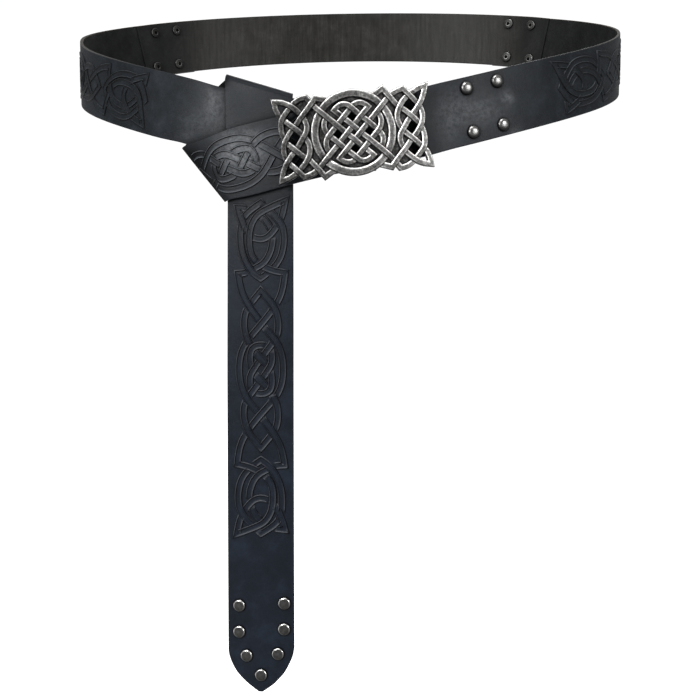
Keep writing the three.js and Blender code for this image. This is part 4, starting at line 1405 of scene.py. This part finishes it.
# The belt
def leather_length(name, stations, flesh, panels, thickness=lambda s: 1):
    """A length of leather with its embossing; flesh is how bare its inner side is."""
    strap = strap_piece(f"{name}_leather", stations, flesh, thickness)
    bands = [band for panel in panels for band in embossed_panel(*panel)]
    piece = joined([strap, *bands], f"{name}_leather")
    # Scuffs and painted highlight, with painted shade also on faces that look along the belt and
    # at the laps of the inside
    write_attribute(piece, "scuff_and_painted_light",
                    lambda v: scuff_and_painted_light_at(v.co) * (1 - facing(v, -1)) - edge_and_lap_shade(v, flesh))
    write_attribute(piece, "lapped", lambda v: lapped(v, flesh))
    finish_piece(piece, leather, "strap", name)


# Each panel is given with how strong the painted highlight on its rims is
clear_selection()
leather_length("strap_tail", tail_stations(), DYED_INSIDE,
               [("tail_panel", 1, on_tail), ("left_panel", 0.6, panel_left()),
                ("knot_panel", 1.4, on_knot, knot_seen)])
leather_length("strap_right", right_stations(), DYED_INSIDE,
               [("right_panel", 0.5, panel_right())])
leather_length("strap_rear", rear_stations(), BARE_INSIDE, [("rear_panel", 0.6, panel_rear())],
               skived)

finish_piece(buckle_piece(), plate_silver, "buckle", "buckle_plate")

double_rivet = rivet_profile(LAP_OFFSET + STRAP_THICK / 2, RING_BACK, dome())
for name, middle, height, lean in (
    ("rivet_left", length_at(LAP_LEFT), loop_height, LAP_COLUMN_LEAN),
    ("rivet_right", length_at(LAP_RIGHT), loop_height, LAP_COLUMN_LEAN),
    ("rivet_front", FRONT_RIVETS_AT, right_height, FRONT_COLUMN_LEAN),
):
    add_rivets(name, double_rivet, rivet_spots(middle, height, lean))
add_rivets("rivet_tail", rivet_profile(STRAP_THICK / 2, FLAT_BACK, CAP),
           [(s, z, hang_level(z), HANG_LEAN) for s, z in TAIL_RIVETS])

# Studio: lengths in metres, angles in degrees, and the lens in millimetres
FLOOR = {"height": -0.44, "size": 60, "grey": 0.6, "rough": 0.7, "glow": 0.82}
CAMERA = {"place": (0, -0.7355, -0.1495), "pitch": 5, "lens": 50, "sensor": 36, "near": 0.01}
SKY_SEEN = 1.05
SKY_LIGHT = 0.4
# Square lights that look at the middle: name, place, size and watts
LIGHTS = [
    ("top_light", (-0.25, -0.75, 1.25), 0.8, 20),
    ("key_light", (-0.85, -1.26, 0.3), 0.4, 36),
    ("left_light", (-1.33, -0.76, 0.22), 0.5, 3),
    ("right_light", (1.01, -1.14, 0.22), 0.5, 24),
    ("rear_light", (0.3, 1.2, 1.2), 0.9, 15),
]


def floor_material():
    n = Nodes("pale_floor")
    n.set(Base_Color=grey(FLOOR["grey"]), Roughness=FLOOR["rough"], Emission_Color=grey(1),
          Emission_Strength=FLOOR["glow"])
    return n.material


def studio():
    clear_selection()
    bpy.ops.mesh.primitive_plane_add(size=FLOOR["size"], location=(0, 0, FLOOR["height"]))
    floor = bpy.context.object
    floor.name = "floor"
    floor.data.materials.append(floor_material())

    world = bpy.data.worlds.new("studio_sky")
    world.use_nodes = True
    tree = world.node_tree
    sky = tree.nodes["Background"]
    sky.inputs[0].default_value = (1, 1, 1, 1)
    level = tree.nodes.new("ShaderNodeMapRange")
    level.inputs["To Min"].default_value = SKY_LIGHT
    level.inputs["To Max"].default_value = SKY_SEEN
    path = tree.nodes.new("ShaderNodeLightPath")
    tree.links.new(path.outputs["Is Camera Ray"], level.inputs["Value"])
    tree.links.new(level.outputs[0], sky.inputs[1])
    bpy.context.scene.world = world
    bpy.context.scene.view_settings.view_transform = "Standard"

    for name, place, size, watts in LIGHTS:
        light = bpy.data.lights.new(name, "AREA")
        light.energy = watts
        light.size = size
        lamp = bpy.data.objects.new(name, light)
        bpy.context.scene.collection.objects.link(lamp)
        lamp.location = place
        lamp.rotation_euler = (-Vector(place)).to_track_quat("-Z", "Y").to_euler()

    view = bpy.data.cameras.new("camera")
    view.lens = CAMERA["lens"]
    view.sensor_width = CAMERA["sensor"]
    view.clip_start = CAMERA["near"]
    camera = bpy.data.objects.new("camera", view)
    bpy.context.scene.collection.objects.link(camera)
    camera.location = CAMERA["place"]
    camera.rotation_euler = (radians(90 - CAMERA["pitch"]), 0, 0)
    bpy.context.scene.camera = camera


studio()
